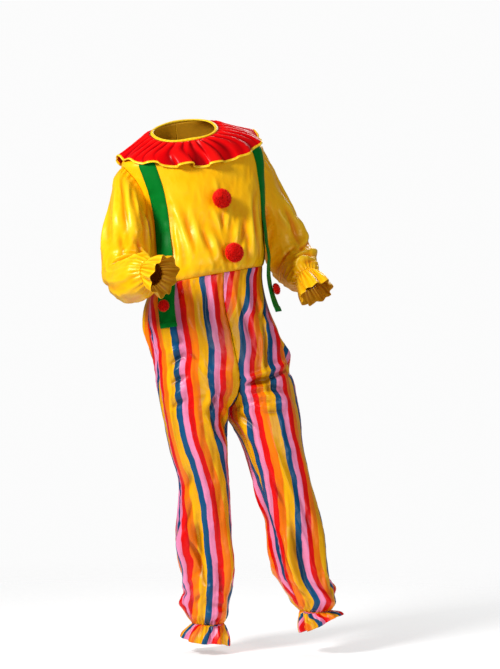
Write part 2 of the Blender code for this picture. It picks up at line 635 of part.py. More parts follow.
def bodice():
    rows = bodice_rows()
    angles = [[-a for a in reversed(front_row(d))] + [0.0] + front_row(d) for d in rows]
    v = np.array(rows)[:, None] * np.ones(len(angles[0]))
    wall("bodice_front", trunk, trunk_outward, np.array(angles), v, WALL, "yellow_satin")
    for side, sign in SIGN.items():
        angles = []
        for down in rows:
            edge = 90.0 + panel_edge(down, ARMHOLE_BACK)
            angles.append(np.linspace(edge, 180.0 - SEAM_ANGLE, 8) * sign)
        angles = np.array(angles)
        v = np.array(rows)[:, None] * np.ones(angles.shape[1])
        wall(f"bodice_back_{side}", trunk, trunk_outward, angles, v, WALL, "yellow_satin")


def trouser_rows(side):
    fork = [FORK_TOP + (CROTCH - FORK_TOP) * math.sin(math.pi / 2 * k / 4) for k in range(5)]
    below = list(np.linspace(CROTCH, LEG_END[side] - 0.085, 9)[1:])
    ankle = [LEG_END[side] - h for h in (0.058, 0.034, 0.014, 0.0)]
    return [WAIST + WAIST_GAP / 2, 0.475, 0.535, *fork, *below, *ankle]


def trousers():
    cells = 15
    for side in SIGN:
        rows = trouser_rows(side)
        inner, outer = 0.15, 0.08

        def outward_at(around, down, side=side):
            return normals(partial(leg_plain, side), around, down, -SIGN[side])

        for part, first, last in (("front", inner, 180.0 - outer), ("back", 180.0 + outer, 360.0 - inner)):
            u, v = grid(np.linspace(first, last, cells + 1), rows)
            wall(f"trousers_{part}_{side}", partial(leg, side), outward_at, u, v, WALL, "striped_satin")


def sleeves():
    around = np.linspace(0.0, 360.0, 2 * ARMHOLE_CELLS, endpoint=False)
    along = [0.0, 0.08, 0.15, 0.22, 0.29, 0.36, 0.43, 0.49, 0.56, 0.63, 0.69, 0.76, 0.83, 0.89, 0.94, 0.975, 1.0]
    for side in SIGN:
        u, v = grid(around, along)

        wall(f"sleeve_{side}", partial(sleeve, side), partial(sleeve_outward, side), u, v, WALL, "yellow_satin",
             closed=True)


def frills():
    for name in FRILLS:
        at_wrist = name.startswith("wrist")
        columns = 36 if at_wrist else 44
        u, v = grid(np.linspace(0.0, 360.0, columns, endpoint=False), [0.0, 0.3, 0.65, 1.0])

        points = frill(name, u, v, waves=0.0)
        centres = points.mean(axis=1, keepdims=True)
        slot = "yellow_satin" if at_wrist else "striped_satin"
        wall(name, partial(frill, name), lambda a, o, p=points, c=centres: unit(p - c), u, v, FRILL_WALL, slot,
             closed=True)


def collar_and_bindings():
    columns = 84
    u, v = grid(np.linspace(-180.0, 180.0, columns, endpoint=False), [0.0, 0.16, 0.42, 0.7, 1.0])


    def outward_at(angle, out):
        return trunk_outward(angle, collar_edge(angle) * out)

    wall("collar", collar, outward_at, u, v, FRILL_WALL, "red_satin", closed=True)

    around = u[0]
    edge = collar(around, np.ones(columns))
    out = unit(edge - collar(around, np.full(columns, 0.97)))
    face = normals(collar, around, np.full(columns, 0.99), -1)
    across = unit(np.roll(edge, -1, axis=0) - np.roll(edge, 1, axis=0))
    out = unit(out - np.sum(out * across, axis=-1, keepdims=True) * across)
    high, thick = 0.0050, 0.0034
    middle = edge + (GAP + high / 2) * out - FRILL_WALL / 2 * face
    ring_tube("collar_edge_binding", middle, face, out, thick, high, 4, "yellow_binding")

    around = np.linspace(-180.0, 180.0, 48, endpoint=False)
    zero = np.zeros(48)
    rim = trunk_plain(around, zero)
    face = normals(trunk_plain, around, zero, -1)
    inward = unit(rim - trunk_plain(around, zero + 0.004))
    high, thick = 0.0095, 0.0066
    middle = rim + (GAP * 3 + high / 2) * inward + 0.0012 * face
    ring_tube("neck_binding", middle, face, inward, thick, high, 6, "yellow_binding")


def strap_rows(end):
    rows = [d for d in bodice_rows() if STRAP_TOP < d < WAIST - 0.001]
    return [STRAP_TOP, *rows, WAIST, *np.linspace(WAIST, end, 5)[1:]]


# seat is how far the flat faces of the cloth lie under its smooth form at the pompom.
STRAP_COLUMNS = ("side", "end", "leaves_cloth", "hang", "seat")
STRAPS = (
    ("right", 0.556, 0.330, 0.010, 0.0001),
    ("left", 0.556, 0.250, 0.026, -0.0001),
)
POMPOM_COLUMNS = ("name", "angle", "down", "seat")
POMPOMS = (
    ("pompom_upper", 0.0, 0.216, 0.0000),
    ("pompom_lower", 6.0, 0.375, 0.0004),
)


def strap_surface(side, leaves_cloth, hang, end):
    """The strap's outer face: on the bodice's own points, then hanging clear of it towards its end."""
    sign = SIGN[side]

    def surface(share, down):
        middle = np.vectorize(strap_angle)(down)
        half = np.vectorize(strap_half)(down)
        angle = sign * (middle + half * share)
        free = ease((down - leaves_cloth) / (end - leaves_cloth))
        lift = STRAP_WALL + STRAP_CLEAR + 0.0030 * ease((down - 0.24) / 0.1) + hang * free
        cloth = trunk(angle, down) * (1 - free)[..., None] + trunk_plain(angle, down) * free[..., None]
        return cloth + lift[..., None] * normals(trunk_plain, angle, down, -1)

    return surface


def straps_and_pompoms():
    for row in STRAPS:
        s = dict(zip(STRAP_COLUMNS, row))
        sign = SIGN[s["side"]]
        surface = strap_surface(s["side"], s["leaves_cloth"], s["hang"], s["end"])
        u, v = grid([-1.0, 0.0, 1.0], strap_rows(s["end"]))
        wall(f"brace_{s['side']}", surface, lambda a, d, f=surface, k=-sign: normals(f, a, d, k), u, v,
             STRAP_WALL, "green_strap")
        at = (np.array([0.0]), np.array([s["end"] - 0.062]))
        pompom(f"brace_pompom_{s['side']}", surface(*at)[0], normals(surface, *at, -sign)[0],
               SMALL_POMPOM_RADIUS, SMALL_POMPOM_DEPTH, s["seat"], 12, 7)
    for row in POMPOMS:
        p = dict(zip(POMPOM_COLUMNS, row))
        at = (np.array([p["angle"]]), np.array([p["down"]]))
        pompom(p["name"], trunk(*at)[0], trunk_outward(*at)[0], POMPOM_RADIUS, POMPOM_DEPTH, p["seat"], 16, 9)


def pompom(name, foot, out, radius, depth, seat, segments, rings):
    """A round tuft whose middle stands off its foot by its own depth."""
    bpy.ops.mesh.primitive_uv_sphere_add(segments=segments, ring_count=rings, radius=1.0)
    ball = bpy.context.object
    points = np.array([v.co for v in ball.data.vertices])
    faces = [tuple(p.vertices) for p in ball.data.polygons]
    bpy.data.objects.remove(ball)
    up = unit(np.array([0.0, 0.0, 1.0]) - out[2] * out)
    across = np.cross(up, out)
    placed = foot + (depth + GAP - seat) * out
    points = placed + radius * points[:, :1] * across + radius * points[:, 1:2] * up + depth * points[:, 2:] * out
    built(name, points, faces, "red_pompom")


for old in list(bpy.data.objects):
    bpy.data.objects.remove(old)
COLLECTION = bpy.data.collections.new("clown_costume")
bpy.context.scene.collection.children.link(COLLECTION)
bodice()
trousers()
sleeves()
frills()
collar_and_bindings()
straps_and_pompoms()
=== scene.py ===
"""Looks of the clown suit: each piece of cloth is a thin shell laid on the form of the solid it stands for.

The forms repeat the part's own tables in the pose frame: right, back and up as the suit is seen turned
FACING degrees. to_part() turns their points to the part's axes. Along every form run soft folds listed one
by one and finer creases between them; stitching, gathers and yarn are pieces or relief of their own.
"""

from __future__ import annotations

import logging
import math
from dataclasses import dataclass
from enum import Enum
from typing import Callable, Sequence

import bmesh
import bpy
import numpy as np
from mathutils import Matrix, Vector

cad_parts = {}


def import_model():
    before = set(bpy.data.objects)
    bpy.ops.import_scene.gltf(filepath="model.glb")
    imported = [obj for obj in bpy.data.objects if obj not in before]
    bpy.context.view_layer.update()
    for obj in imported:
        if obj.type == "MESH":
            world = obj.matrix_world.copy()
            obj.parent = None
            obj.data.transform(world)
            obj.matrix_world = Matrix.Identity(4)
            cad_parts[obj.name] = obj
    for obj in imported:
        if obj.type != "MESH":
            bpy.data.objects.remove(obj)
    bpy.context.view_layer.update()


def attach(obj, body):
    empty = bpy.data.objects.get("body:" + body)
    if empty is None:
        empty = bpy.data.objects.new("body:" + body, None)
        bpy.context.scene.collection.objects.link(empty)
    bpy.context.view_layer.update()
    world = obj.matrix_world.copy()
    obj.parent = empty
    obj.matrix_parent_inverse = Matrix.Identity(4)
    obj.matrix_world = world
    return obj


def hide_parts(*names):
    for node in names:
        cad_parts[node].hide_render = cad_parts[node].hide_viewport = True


LOG = logging.getLogger("clown_suit")
Array = np.ndarray
Run = Callable[[Array], Array]
Track = dict[str, Run]
Table = Sequence[Sequence[float]]
Surface = Callable[[Array, Array], Array]
Seam = tuple[Array, Array]
Socket = bpy.types.NodeSocket
Material = bpy.types.Material
Pair = tuple[Material, Material]

# Metres, but for FACING, ARMHOLE_FRONT and ARMHOLE_BACK in degrees, SLEEVE_FAN and SLEEVE_HEAD in shares of
# a sleeve, and the numbers of waves and gathers round a whole girth.
FACING = 25.0
WAIST = 0.425
FORK_TOP = 0.640
CROTCH = 0.800
THIGH_TOP = 0.540
THIGH_END = 0.930
CROTCH_AT = (0.125, 0.001)
SEAM_SHIFT = 0.00015
GAP = 0.0003
ARMHOLE_TOP = 0.085
ARMHOLE_END = 0.235
ARMHOLE_MIDDLE = (ARMHOLE_TOP + ARMHOLE_END) / 2
ARMHOLE_HALF = (ARMHOLE_END - ARMHOLE_TOP) / 2
ARMHOLE_RADIUS = 0.115
ARMHOLE_FRONT = 17.0
ARMHOLE_BACK = 30.0
SIDE_RADIUS = 0.220
STRAP_WIDTH = 0.046
STRAP_WALL = 0.0016
STRAP_CLEAR = 0.0004
STRAP_CLOTH = 0.0014
COLLAR_EDGE_SIDE = 0.060
COLLAR_EDGE_FRONT = 0.117
COLLAR_LIFT = 0.0042
COLLAR_FLARE = 0.0160
COLLAR_WAVES = 13
TRUNK_GIRTH_RADIUS = 0.150
LEG_GIRTH_RADIUS = 0.088
SLEEVE_GIRTH_RADIUS = 0.066
SLEEVE_RUN = 0.440
SLEEVE_FAN = 0.22
SLEEVE_HEAD = 0.40
UNDERARM = 0.008
CLOTH = 0.0007
WAIST_GATHERS = 46
WAIST_PUCKER = 0.0011
WAIST_REACH = 0.036
SEAM_DIP = 0.0018
POMPOM_DIP = 0.0030
POMPOM_DIP_SPREAD = 0.022
POMPOM_GIRTH_RADIUS = 0.13
LATTICE = 128
# Metres below the neck, and how far beside the panel's middle the first stripe lies there.
STRIPE_DRIFT = {
    "right": (
        (0.44, 0.058), (0.53, 0.077), (0.58, 0.071), (0.64, 0.06), (0.7, 0.04), (0.76, 0.03), (0.83, 0.02),
        (0.88, 0.02), (0.95, 0.036), (1.02, 0.048), (1.1, 0.063), (1.16, 0.07), (1.25, 0.071),
        (1.36, 0.075),
    ),
    "left": (
        (0.43, 0.145), (0.51, 0.118), (0.56, 0.08), (0.62, 0.07), (0.68, 0.056), (0.74, 0.068),
        (0.82, 0.081), (0.9, 0.082), (0.97, 0.077), (1.04, 0.069), (1.1, 0.057), (1.16, 0.042),
        (1.22, 0.034), (1.36, 0.048),
    ),
}

TRUNK_COLUMNS = ("down", "rise", "right", "back", "wide", "front", "rear", "nod", "lean", "turn")
TRUNK = (
    (0, 0, 0, 0, 0.098, 0.085, 0.07, 28, 12.8, 18),
    (0.02, 0.003, 0.005, 0.004, 0.138, 0.092, 0.08, 22, 12.8, 19),
    (0.045, 0.007, 0.011, 0.008, 0.18, 0.098, 0.09, 14, 12.5, 20),
    (0.065, 0.01, 0.017, 0.01, 0.204, 0.102, 0.098, 9, 11.5, 21),
    (0.085, 0.012, 0.024, 0.012, 0.216, 0.105, 0.105, 5, 10.5, 22),
    (0.12, 0.01, 0.035, 0.013, 0.212, 0.109, 0.112, 2, 10, 23.5),
    (0.16, 0.006, 0.044, 0.012, 0.201, 0.113, 0.118, 0, 9.5, 25),
    (0.2, 0.003, 0.052, 0.01, 0.192, 0.117, 0.118, 0, 9.5, 25),
    (0.235, 0, 0.056, 0.008, 0.187, 0.12, 0.116, 0, 9.5, 25.5),
    (0.29, 0, 0.058, 0.004, 0.183, 0.125, 0.112, 0, 10, 26.5),
    (0.35, 0, 0.06, 0, 0.182, 0.13, 0.11, 0, 11, 28),
    (0.4, 0, 0.06, -0.003, 0.181, 0.132, 0.109, 0, 11, 28),
    (0.425, 0, 0.06, -0.003, 0.176, 0.127, 0.107, 0, 11, 28),
    (0.5, 0, 0.061, -0.003, 0.181, 0.13, 0.114, 0, 9, 27),
    (0.54, 0, 0.068, -0.001, 0.186, 0.131, 0.119, 0, 7.5, 26),
    (0.577, 0, 0.08, 0, 0.189, 0.132, 0.124, 0, 6, 25),
    (0.65, 0, 0.098, 0.002, 0.195, 0.133, 0.129, 0, 3, 24),
    (0.71, 0, 0.115, 0.003, 0.204, 0.133, 0.13, 0, 1, 23),
    (0.78, 0, 0.128, 0.004, 0.21, 0.133, 0.13, 0, 0, 22),
    (0.84, 0, 0.13, 0.004, 0.212, 0.133, 0.13, 0, 0, 22),
)
LEG_COLUMNS = ("down", "right", "back", "wide", "deep", "turn")
LEGS = {
    "right": (
        (0.6, 0.026, -0.04, 0.101, 0.132, 25), (0.757, 0.028, -0.035, 0.098, 0.128, 25),
        (0.8, 0.029, -0.033, 0.094, 0.124, 25), (0.838, 0.034, -0.03, 0.092, 0.118, 24),
        (0.925, 0.043, -0.025, 0.085, 0.105, 23), (1.012, 0.058, -0.025, 0.075, 0.09, 22),
        (1.099, 0.061, -0.02, 0.077, 0.086, 20), (1.186, 0.062, -0.014, 0.081, 0.086, 18),
        (1.273, 0.074, -0.012, 0.077, 0.084, 16), (1.335, 0.076, -0.014, 0.066, 0.078, 15),
        (1.375, 0.072, -0.014, 0.06, 0.068, 15), (1.402, 0.07, -0.015, 0.058, 0.062, 15),
        (1.424, 0.07, -0.015, 0.045, 0.046, 15),
    ),
    "left": (
        (0.6, 0.226, 0.04, 0.098, 0.132, 25), (0.757, 0.227, 0.038, 0.098, 0.13, 25),
        (0.8, 0.23, 0.035, 0.105, 0.125, 26), (0.838, 0.238, 0.031, 0.103, 0.12, 28),
        (0.896, 0.254, 0.024, 0.091, 0.112, 31), (0.983, 0.277, 0.01, 0.085, 0.1, 35),
        (1.07, 0.3, 0, 0.08, 0.093, 38), (1.157, 0.323, -0.008, 0.077, 0.088, 40),
        (1.244, 0.34, -0.016, 0.075, 0.086, 40), (1.3, 0.354, -0.022, 0.073, 0.082, 40),
        (1.34, 0.371, -0.028, 0.066, 0.072, 40), (1.368, 0.378, -0.032, 0.058, 0.06, 40),
        (1.385, 0.379, -0.033, 0.044, 0.046, 40),
    ),
}
SLEEVE_COLUMNS = ("along", "right", "back", "up", "outer", "fore")
SLEEVES = {
    "right": (
        (0, -0.134, -0.07, -0.185, 0.078, 0.052), (0.08, -0.146, -0.098, -0.203, 0.079, 0.058),
        (0.17, -0.152, -0.13, -0.23, 0.07, 0.061), (0.27, -0.154, -0.15, -0.266, 0.065, 0.063),
        (0.42, -0.154, -0.158, -0.325, 0.066, 0.067), (0.55, -0.155, -0.16, -0.378, 0.068, 0.067),
        (0.66, -0.155, -0.174, -0.417, 0.07, 0.066), (0.76, -0.146, -0.207, -0.434, 0.067, 0.064),
        (0.86, -0.122, -0.254, -0.433, 0.063, 0.063), (0.94, -0.099, -0.286, -0.426, 0.054, 0.054),
        (1, -0.08, -0.303, -0.42, 0.036, 0.036),
    ),
    "left": (
        (0, 0.221, 0.098, -0.124, 0.078, 0.052), (0.08, 0.232, 0.124, -0.15, 0.078, 0.06),
        (0.17, 0.24, 0.148, -0.186, 0.069, 0.066), (0.28, 0.252, 0.17, -0.232, 0.062, 0.068),
        (0.42, 0.274, 0.19, -0.287, 0.061, 0.07), (0.55, 0.295, 0.195, -0.335, 0.062, 0.07),
        (0.67, 0.313, 0.18, -0.372, 0.06, 0.068), (0.79, 0.333, 0.145, -0.4, 0.056, 0.062),
        (0.9, 0.35, 0.11, -0.418, 0.05, 0.054), (1, 0.361, 0.085, -0.428, 0.036, 0.036),
    ),
}
# Each frill's right, back, up, radius, waves and depth, as its class says.
FRILLS = {
    "wrist_frill_right": (-0.043, -0.330, -0.431, 0.056, 9, 0.0050),
    "wrist_frill_left": (0.387, 0.053, -0.470, 0.049, 9, 0.0050),
    "ankle_frill_right": (0.062, -0.018, -1.478, 0.068, 11, 0.0060),
    "ankle_frill_left": (0.396, -0.036, -1.424, 0.064, 11, 0.0060),
}
# Soft folds: ridges stand out of the cloth and troughs, with a negative height, run into it. around is in
# degrees of girth, along in metres below the neck, or in shares of a sleeve, and lean in degrees off the run.
FOLD_COLUMNS = ("around", "along", "lean", "length", "width", "height")
TRUNK_FOLDS = (
    (31, 0.345, -3, 0.11, 0.019, 0.0121), (19, 0.36, 2, 0.09, 0.017, 0.0102),
    (25, 0.37, 0, 0.08, 0.014, -0.0081), (-14, 0.375, -4, 0.07, 0.02, 0.0102),
    (-30, 0.355, 6, 0.09, 0.02, 0.0111), (-80, 0.34, 5, 0.09, 0.023, 0.0111),
    (82, 0.34, -5, 0.09, 0.023, 0.0111), (130, 0.33, 4, 0.12, 0.023, 0.0132),
    (160, 0.345, -4, 0.1, 0.022, 0.0111), (-130, 0.33, -4, 0.12, 0.023, 0.0132),
    (-160, 0.345, 4, 0.1, 0.022, 0.0111),
)
LEG_FOLDS = {
    "right": (
        (22, 0.52, 4, 0.11, 0.02, 0.0121), (52, 0.54, -3, 0.13, 0.022, 0.0111),
        (120, 0.56, 6, 0.13, 0.026, 0.0132), (38, 0.85, -28, 0.07, 0.017, -0.0121),
        (62, 0.905, -30, 0.06, 0.017, 0.0102), (150, 1.01, 35, 0.06, 0.02, -0.0121),
        (125, 1.21, 3, 0.13, 0.02, -0.0263), (155, 1.2, -2, 0.12, 0.025, 0.0181),
        (60, 1.23, 0, 0.13, 0.022, 0.0121), (20, 1.25, 4, 0.11, 0.02, -0.0142),
        (195, 1.365, 80, 0.055, 0.023, 0.0224), (90, 1.388, 85, 0.06, 0.017, 0.0142),
        (270, 1.05, 12, 0.12, 0.026, 0.0162), (230, 1.23, -8, 0.13, 0.025, 0.0173),
        (310, 1.26, 6, 0.12, 0.023, 0.0152), (250, 0.64, 10, 0.12, 0.026, 0.0142),
    ),
    "left": (
        (18, 0.53, -3, 0.12, 0.02, 0.0121), (48, 0.55, 3, 0.12, 0.022, 0.0121),
        (62, 0.735, 66, 0.085, 0.017, -0.0173), (80, 0.775, 62, 0.07, 0.02, 0.0121),
        (150, 0.69, 60, 0.07, 0.019, -0.0132), (160, 0.66, 60, 0.07, 0.017, 0.0121),
        (45, 1.2, 6, 0.13, 0.02, -0.0181), (25, 1.24, 4, 0.12, 0.022, 0.0162),
        (110, 1.18, -3, 0.14, 0.02, 0.0102), (150, 1.25, 4, 0.11, 0.022, -0.0162),
        (175, 1.33, 60, 0.05, 0.02, 0.0203), (80, 1.352, 82, 0.06, 0.017, 0.0142),
        (270, 1.03, -10, 0.12, 0.026, 0.0162), (235, 1.21, 8, 0.13, 0.025, 0.0173),
        (320, 1.23, -6, 0.12, 0.023, 0.0152), (250, 0.64, -10, 0.12, 0.026, 0.0142),
    ),
}
SLEEVE_FOLDS = {
    "right": (
        (20, 0.36, 4, 0.1, 0.019, 0.0111), (60, 0.38, -4, 0.11, 0.017, 0.0121),
        (95, 0.4, 3, 0.1, 0.019, -0.006), (330, 0.42, 2, 0.11, 0.02, 0.0121),
        (45, 0.68, 78, 0.055, 0.019, 0.009), (120, 0.64, 80, 0.05, 0.018, -0.006),
        (70, 0.83, 72, 0.05, 0.014, 0.0111), (200, 0.45, 10, 0.09, 0.02, 0.0121),
        (270, 0.6, 70, 0.06, 0.02, 0.0121),
    ),
    "left": (
        (30, 0.38, 3, 0.12, 0.019, 0.0121), (75, 0.42, -3, 0.12, 0.019, 0.0132),
        (110, 0.45, 4, 0.11, 0.017, -0.0132), (60, 0.72, 60, 0.065, 0.02, 0.0142),
        (110, 0.82, 68, 0.055, 0.017, -0.0121), (130, 0.88, 75, 0.05, 0.016, 0.0121),
        (200, 0.6, 25, 0.09, 0.02, 0.0132), (280, 0.5, 10, 0.11, 0.022, 0.0132),
    ),
}
# Metres below the neck, and degrees from the centre front to the middle of a strap there.
STRAP_ANGLES = ((0.05, 46.0), (0.11, 51.0), (0.20, 57.0), (0.42, 58.0), (0.55, 54.0))
# Metres below the neck of a brace's end and of where it leaves the cloth, and how far its end hangs off.
STRAPS = {"right": (0.556, 0.330, 0.010), "left": (0.556, 0.250, 0.026)}
# Degrees from the centre front and metres below the neck of each large pompom.
POMPOMS = {"pompom_upper": (0.0, 0.216), "pompom_lower": (6.0, 0.375)}

# Creases that the solids are too coarse for, listed as FOLD_COLUMNS says.
TRUNK_CREASES = (
    (0, 0.18, 0, 0.034, 0.006, 0.0026), (-5, 0.266, 12, 0.05, 0.007, 0.0046),
    (6, 0.272, -10, 0.056, 0.007, 0.0048), (1, 0.278, 0, 0.04, 0.006, -0.004),
    (13, 0.32, -16, 0.075, 0.009, 0.0056), (19, 0.335, -14, 0.07, 0.007, -0.005),
    (-9, 0.345, 14, 0.08, 0.009, 0.0056), (-15, 0.35, 12, 0.075, 0.007, -0.0048),
    (15, 0.4, -8, 0.05, 0.007, 0.004), (-2, 0.408, 8, 0.045, 0.006, 0.0036),
    (30, 0.3, -6, 0.13, 0.008, 0.0066), (36, 0.29, -5, 0.125, 0.007, -0.0058),
    (43, 0.32, 2, 0.12, 0.008, 0.0056), (49, 0.3, -2, 0.12, 0.008, -0.005),
    (-24, 0.3, 7, 0.105, 0.008, 0.0058), (-31, 0.31, 5, 0.11, 0.007, -0.0055),
    (-38, 0.27, 9, 0.12, 0.008, 0.0055), (-45, 0.34, 2, 0.1, 0.008, 0.0052),
    (-54, 0.165, 38, 0.065, 0.008, 0.0045), (-49, 0.19, 32, 0.06, 0.007, -0.004),
    (52, 0.165, -38, 0.065, 0.008, 0.0045), (47, 0.19, -32, 0.06, 0.007, -0.004),
    (70, 0.27, -12, 0.12, 0.01, 0.0062), (-72, 0.27, 12, 0.12, 0.01, 0.0062),
    (84, 0.31, -6, 0.11, 0.009, -0.0055), (-86, 0.3, 7, 0.11, 0.009, -0.0055),
    (100, 0.29, 8, 0.12, 0.01, 0.0064), (-100, 0.29, -8, 0.12, 0.01, 0.0064),
    (114, 0.33, 3, 0.1, 0.009, -0.005), (-112, 0.34, -4, 0.1, 0.009, -0.005),
    (122, 0.21, 30, 0.095, 0.01, 0.0056), (-120, 0.21, -30, 0.095, 0.01, 0.0056),
    (138, 0.3, 7, 0.12, 0.01, -0.0055), (147, 0.25, 6, 0.13, 0.01, 0.0064),
    (-136, 0.32, -5, 0.11, 0.01, 0.0058), (-147, 0.26, -6, 0.13, 0.009, -0.006),
    (160, 0.34, -4, 0.1, 0.009, -0.005), (169, 0.29, -3, 0.12, 0.01, 0.005),
    (-160, 0.33, 3, 0.11, 0.009, 0.0055), (-170, 0.27, 3, 0.12, 0.01, -0.004),
)
LEG_CREASES = {
    "right": (
        (38, 0.52, 6, 0.09, 0.01, -0.0055), (72, 0.56, -4, 0.11, 0.011, 0.005),
        (95, 0.6, 4, 0.12, 0.011, -0.005), (110, 0.628, 62, 0.05, 0.01, 0.01),
        (115, 0.656, 66, 0.05, 0.007, -0.0095), (120, 0.688, 60, 0.05, 0.01, 0.0095),
        (124, 0.716, 66, 0.045, 0.007, -0.009), (130, 0.758, 58, 0.05, 0.01, 0.0085),
        (134, 0.784, 62, 0.045, 0.007, -0.0075), (78, 0.655, -36, 0.05, 0.008, -0.006),
        (66, 0.68, -30, 0.05, 0.01, 0.005), (52, 0.77, -44, 0.055, 0.01, 0.0065),
        (40, 0.815, -34, 0.06, 0.009, 0.007), (66, 0.782, 33, 0.05, 0.0065, -0.0105),
        (75, 0.778, 33, 0.05, 0.0085, 0.0085), (75, 0.85, -5, 0.05, 0.0065, -0.0095),
        (84, 0.85, -5, 0.05, 0.0085, 0.007), (104, 0.86, 8, 0.11, 0.01, 0.0045),
        (84, 0.98, 4, 0.12, 0.011, -0.005), (110, 1.05, -5, 0.12, 0.012, 0.006),
        (66, 1.08, 3, 0.11, 0.01, 0.0045), (148, 1.11, 14, 0.09, 0.011, -0.007),
        (134, 1.215, -18, 0.13, 0.007, -0.01), (126, 1.215, -18, 0.13, 0.009, 0.008),
        (170, 1.18, 6, 0.12, 0.007, -0.008), (161, 1.18, 6, 0.12, 0.009, 0.006),
        (80, 1.29, -10, 0.07, 0.009, -0.0055), (112, 1.33, 32, 0.06, 0.01, 0.007),
        (140, 1.345, 58, 0.05, 0.01, -0.006), (60, 1.36, -42, 0.05, 0.009, 0.006),
        (36, 1.34, -30, 0.06, 0.01, -0.006), (180, 1.31, 40, 0.06, 0.011, 0.0065),
        (215, 0.56, -5, 0.12, 0.011, 0.0081), (245, 0.76, 58, 0.06, 0.0093, -0.0081),
        (255, 0.8, 60, 0.06, 0.0102, 0.0088), (290, 0.7, -40, 0.08, 0.0102, 0.0081),
        (235, 0.93, 8, 0.13, 0.011, 0.0081), (262, 1.12, 60, 0.055, 0.0102, -0.0081),
        (280, 1.15, 55, 0.06, 0.0102, 0.0081), (300, 1.33, 45, 0.06, 0.0093, 0.0088),
        (335, 1.05, 10, 0.11, 0.0102, 0.0068), (250, 0.985, 78, 0.06, 0.008, 0.0075),
        (262, 1.008, -80, 0.06, 0.007, -0.007), (274, 1.034, 76, 0.055, 0.008, 0.007),
        (286, 1.06, -74, 0.05, 0.007, -0.0065), (238, 0.835, -55, 0.07, 0.009, -0.008),
        (300, 0.842, 60, 0.06, 0.009, -0.0075),
    ),
    "left": (
        (30, 0.56, 4, 0.12, 0.01, -0.005), (76, 0.56, -5, 0.11, 0.011, 0.005),
        (102, 0.6, 14, 0.11, 0.012, 0.0065), (122, 0.62, 26, 0.1, 0.011, -0.0065),
        (138, 0.64, 34, 0.09, 0.012, 0.007), (62, 0.635, -11, 0.08, 0.0062, -0.0105),
        (53, 0.635, -11, 0.08, 0.008, 0.0075), (82, 0.545, -40, 0.04, 0.0062, -0.0085),
        (74, 0.54, -40, 0.04, 0.0075, 0.006), (50, 0.702, -75, 0.165, 0.0075, 0.0105),
        (50, 0.72, -75, 0.165, 0.0062, -0.0105), (130, 0.684, -62, 0.055, 0.008, 0.007),
        (134, 0.702, -66, 0.055, 0.007, -0.007), (46, 0.738, -78, 0.08, 0.0062, 0.0056),
        (60, 0.752, -82, 0.07, 0.006, -0.0054), (40, 0.766, -86, 0.06, 0.006, 0.0046),
        (66, 0.78, 88, 0.06, 0.006, -0.0044), (48, 0.796, 86, 0.05, 0.006, 0.0038),
        (72, 0.812, -86, 0.045, 0.006, -0.0034), (30, 0.83, 30, 0.07, 0.01, -0.007),
        (22, 0.88, 20, 0.08, 0.01, 0.006), (60, 0.96, 4, 0.13, 0.011, 0.0045),
        (110, 0.98, -3, 0.13, 0.012, 0.005), (36, 1.03, 8, 0.12, 0.01, -0.006),
        (84, 1.12, 2, 0.13, 0.011, -0.005), (130, 1.12, -4, 0.12, 0.012, 0.006),
        (64, 1.18, 9, 0.12, 0.009, 0.006), (22, 1.25, 8, 0.12, 0.0065, -0.0095),
        (31, 1.25, 8, 0.12, 0.009, 0.0075), (98, 1.28, -14, 0.08, 0.01, 0.006),
        (120, 1.31, -36, 0.06, 0.01, -0.006), (72, 1.322, 44, 0.055, 0.009, 0.006),
        (150, 1.3, -50, 0.05, 0.01, 0.0065), (30, 1.3, 26, 0.07, 0.01, 0.006),
        (205, 0.56, 5, 0.12, 0.011, 0.0081), (245, 0.77, -58, 0.06, 0.0093, -0.0081),
        (258, 0.81, -60, 0.06, 0.0102, 0.0088), (290, 0.7, 40, 0.08, 0.0102, 0.0081),
        (225, 0.93, -8, 0.13, 0.011, 0.0081), (262, 1.1, -60, 0.055, 0.0102, -0.0081),
        (280, 1.13, -55, 0.06, 0.0102, 0.0081), (300, 1.29, -45, 0.06, 0.0093, 0.0088),
        (335, 1.05, -10, 0.11, 0.0102, 0.0068), (250, 0.97, 78, 0.06, 0.008, 0.0075),
        (262, 0.998, -80, 0.06, 0.007, -0.007), (274, 1.022, 76, 0.055, 0.008, 0.007),
        (286, 1.052, -74, 0.05, 0.007, -0.0065), (238, 0.835, -50, 0.07, 0.009, -0.008),
        (300, 0.842, 60, 0.06, 0.009, -0.0075),
    ),
}
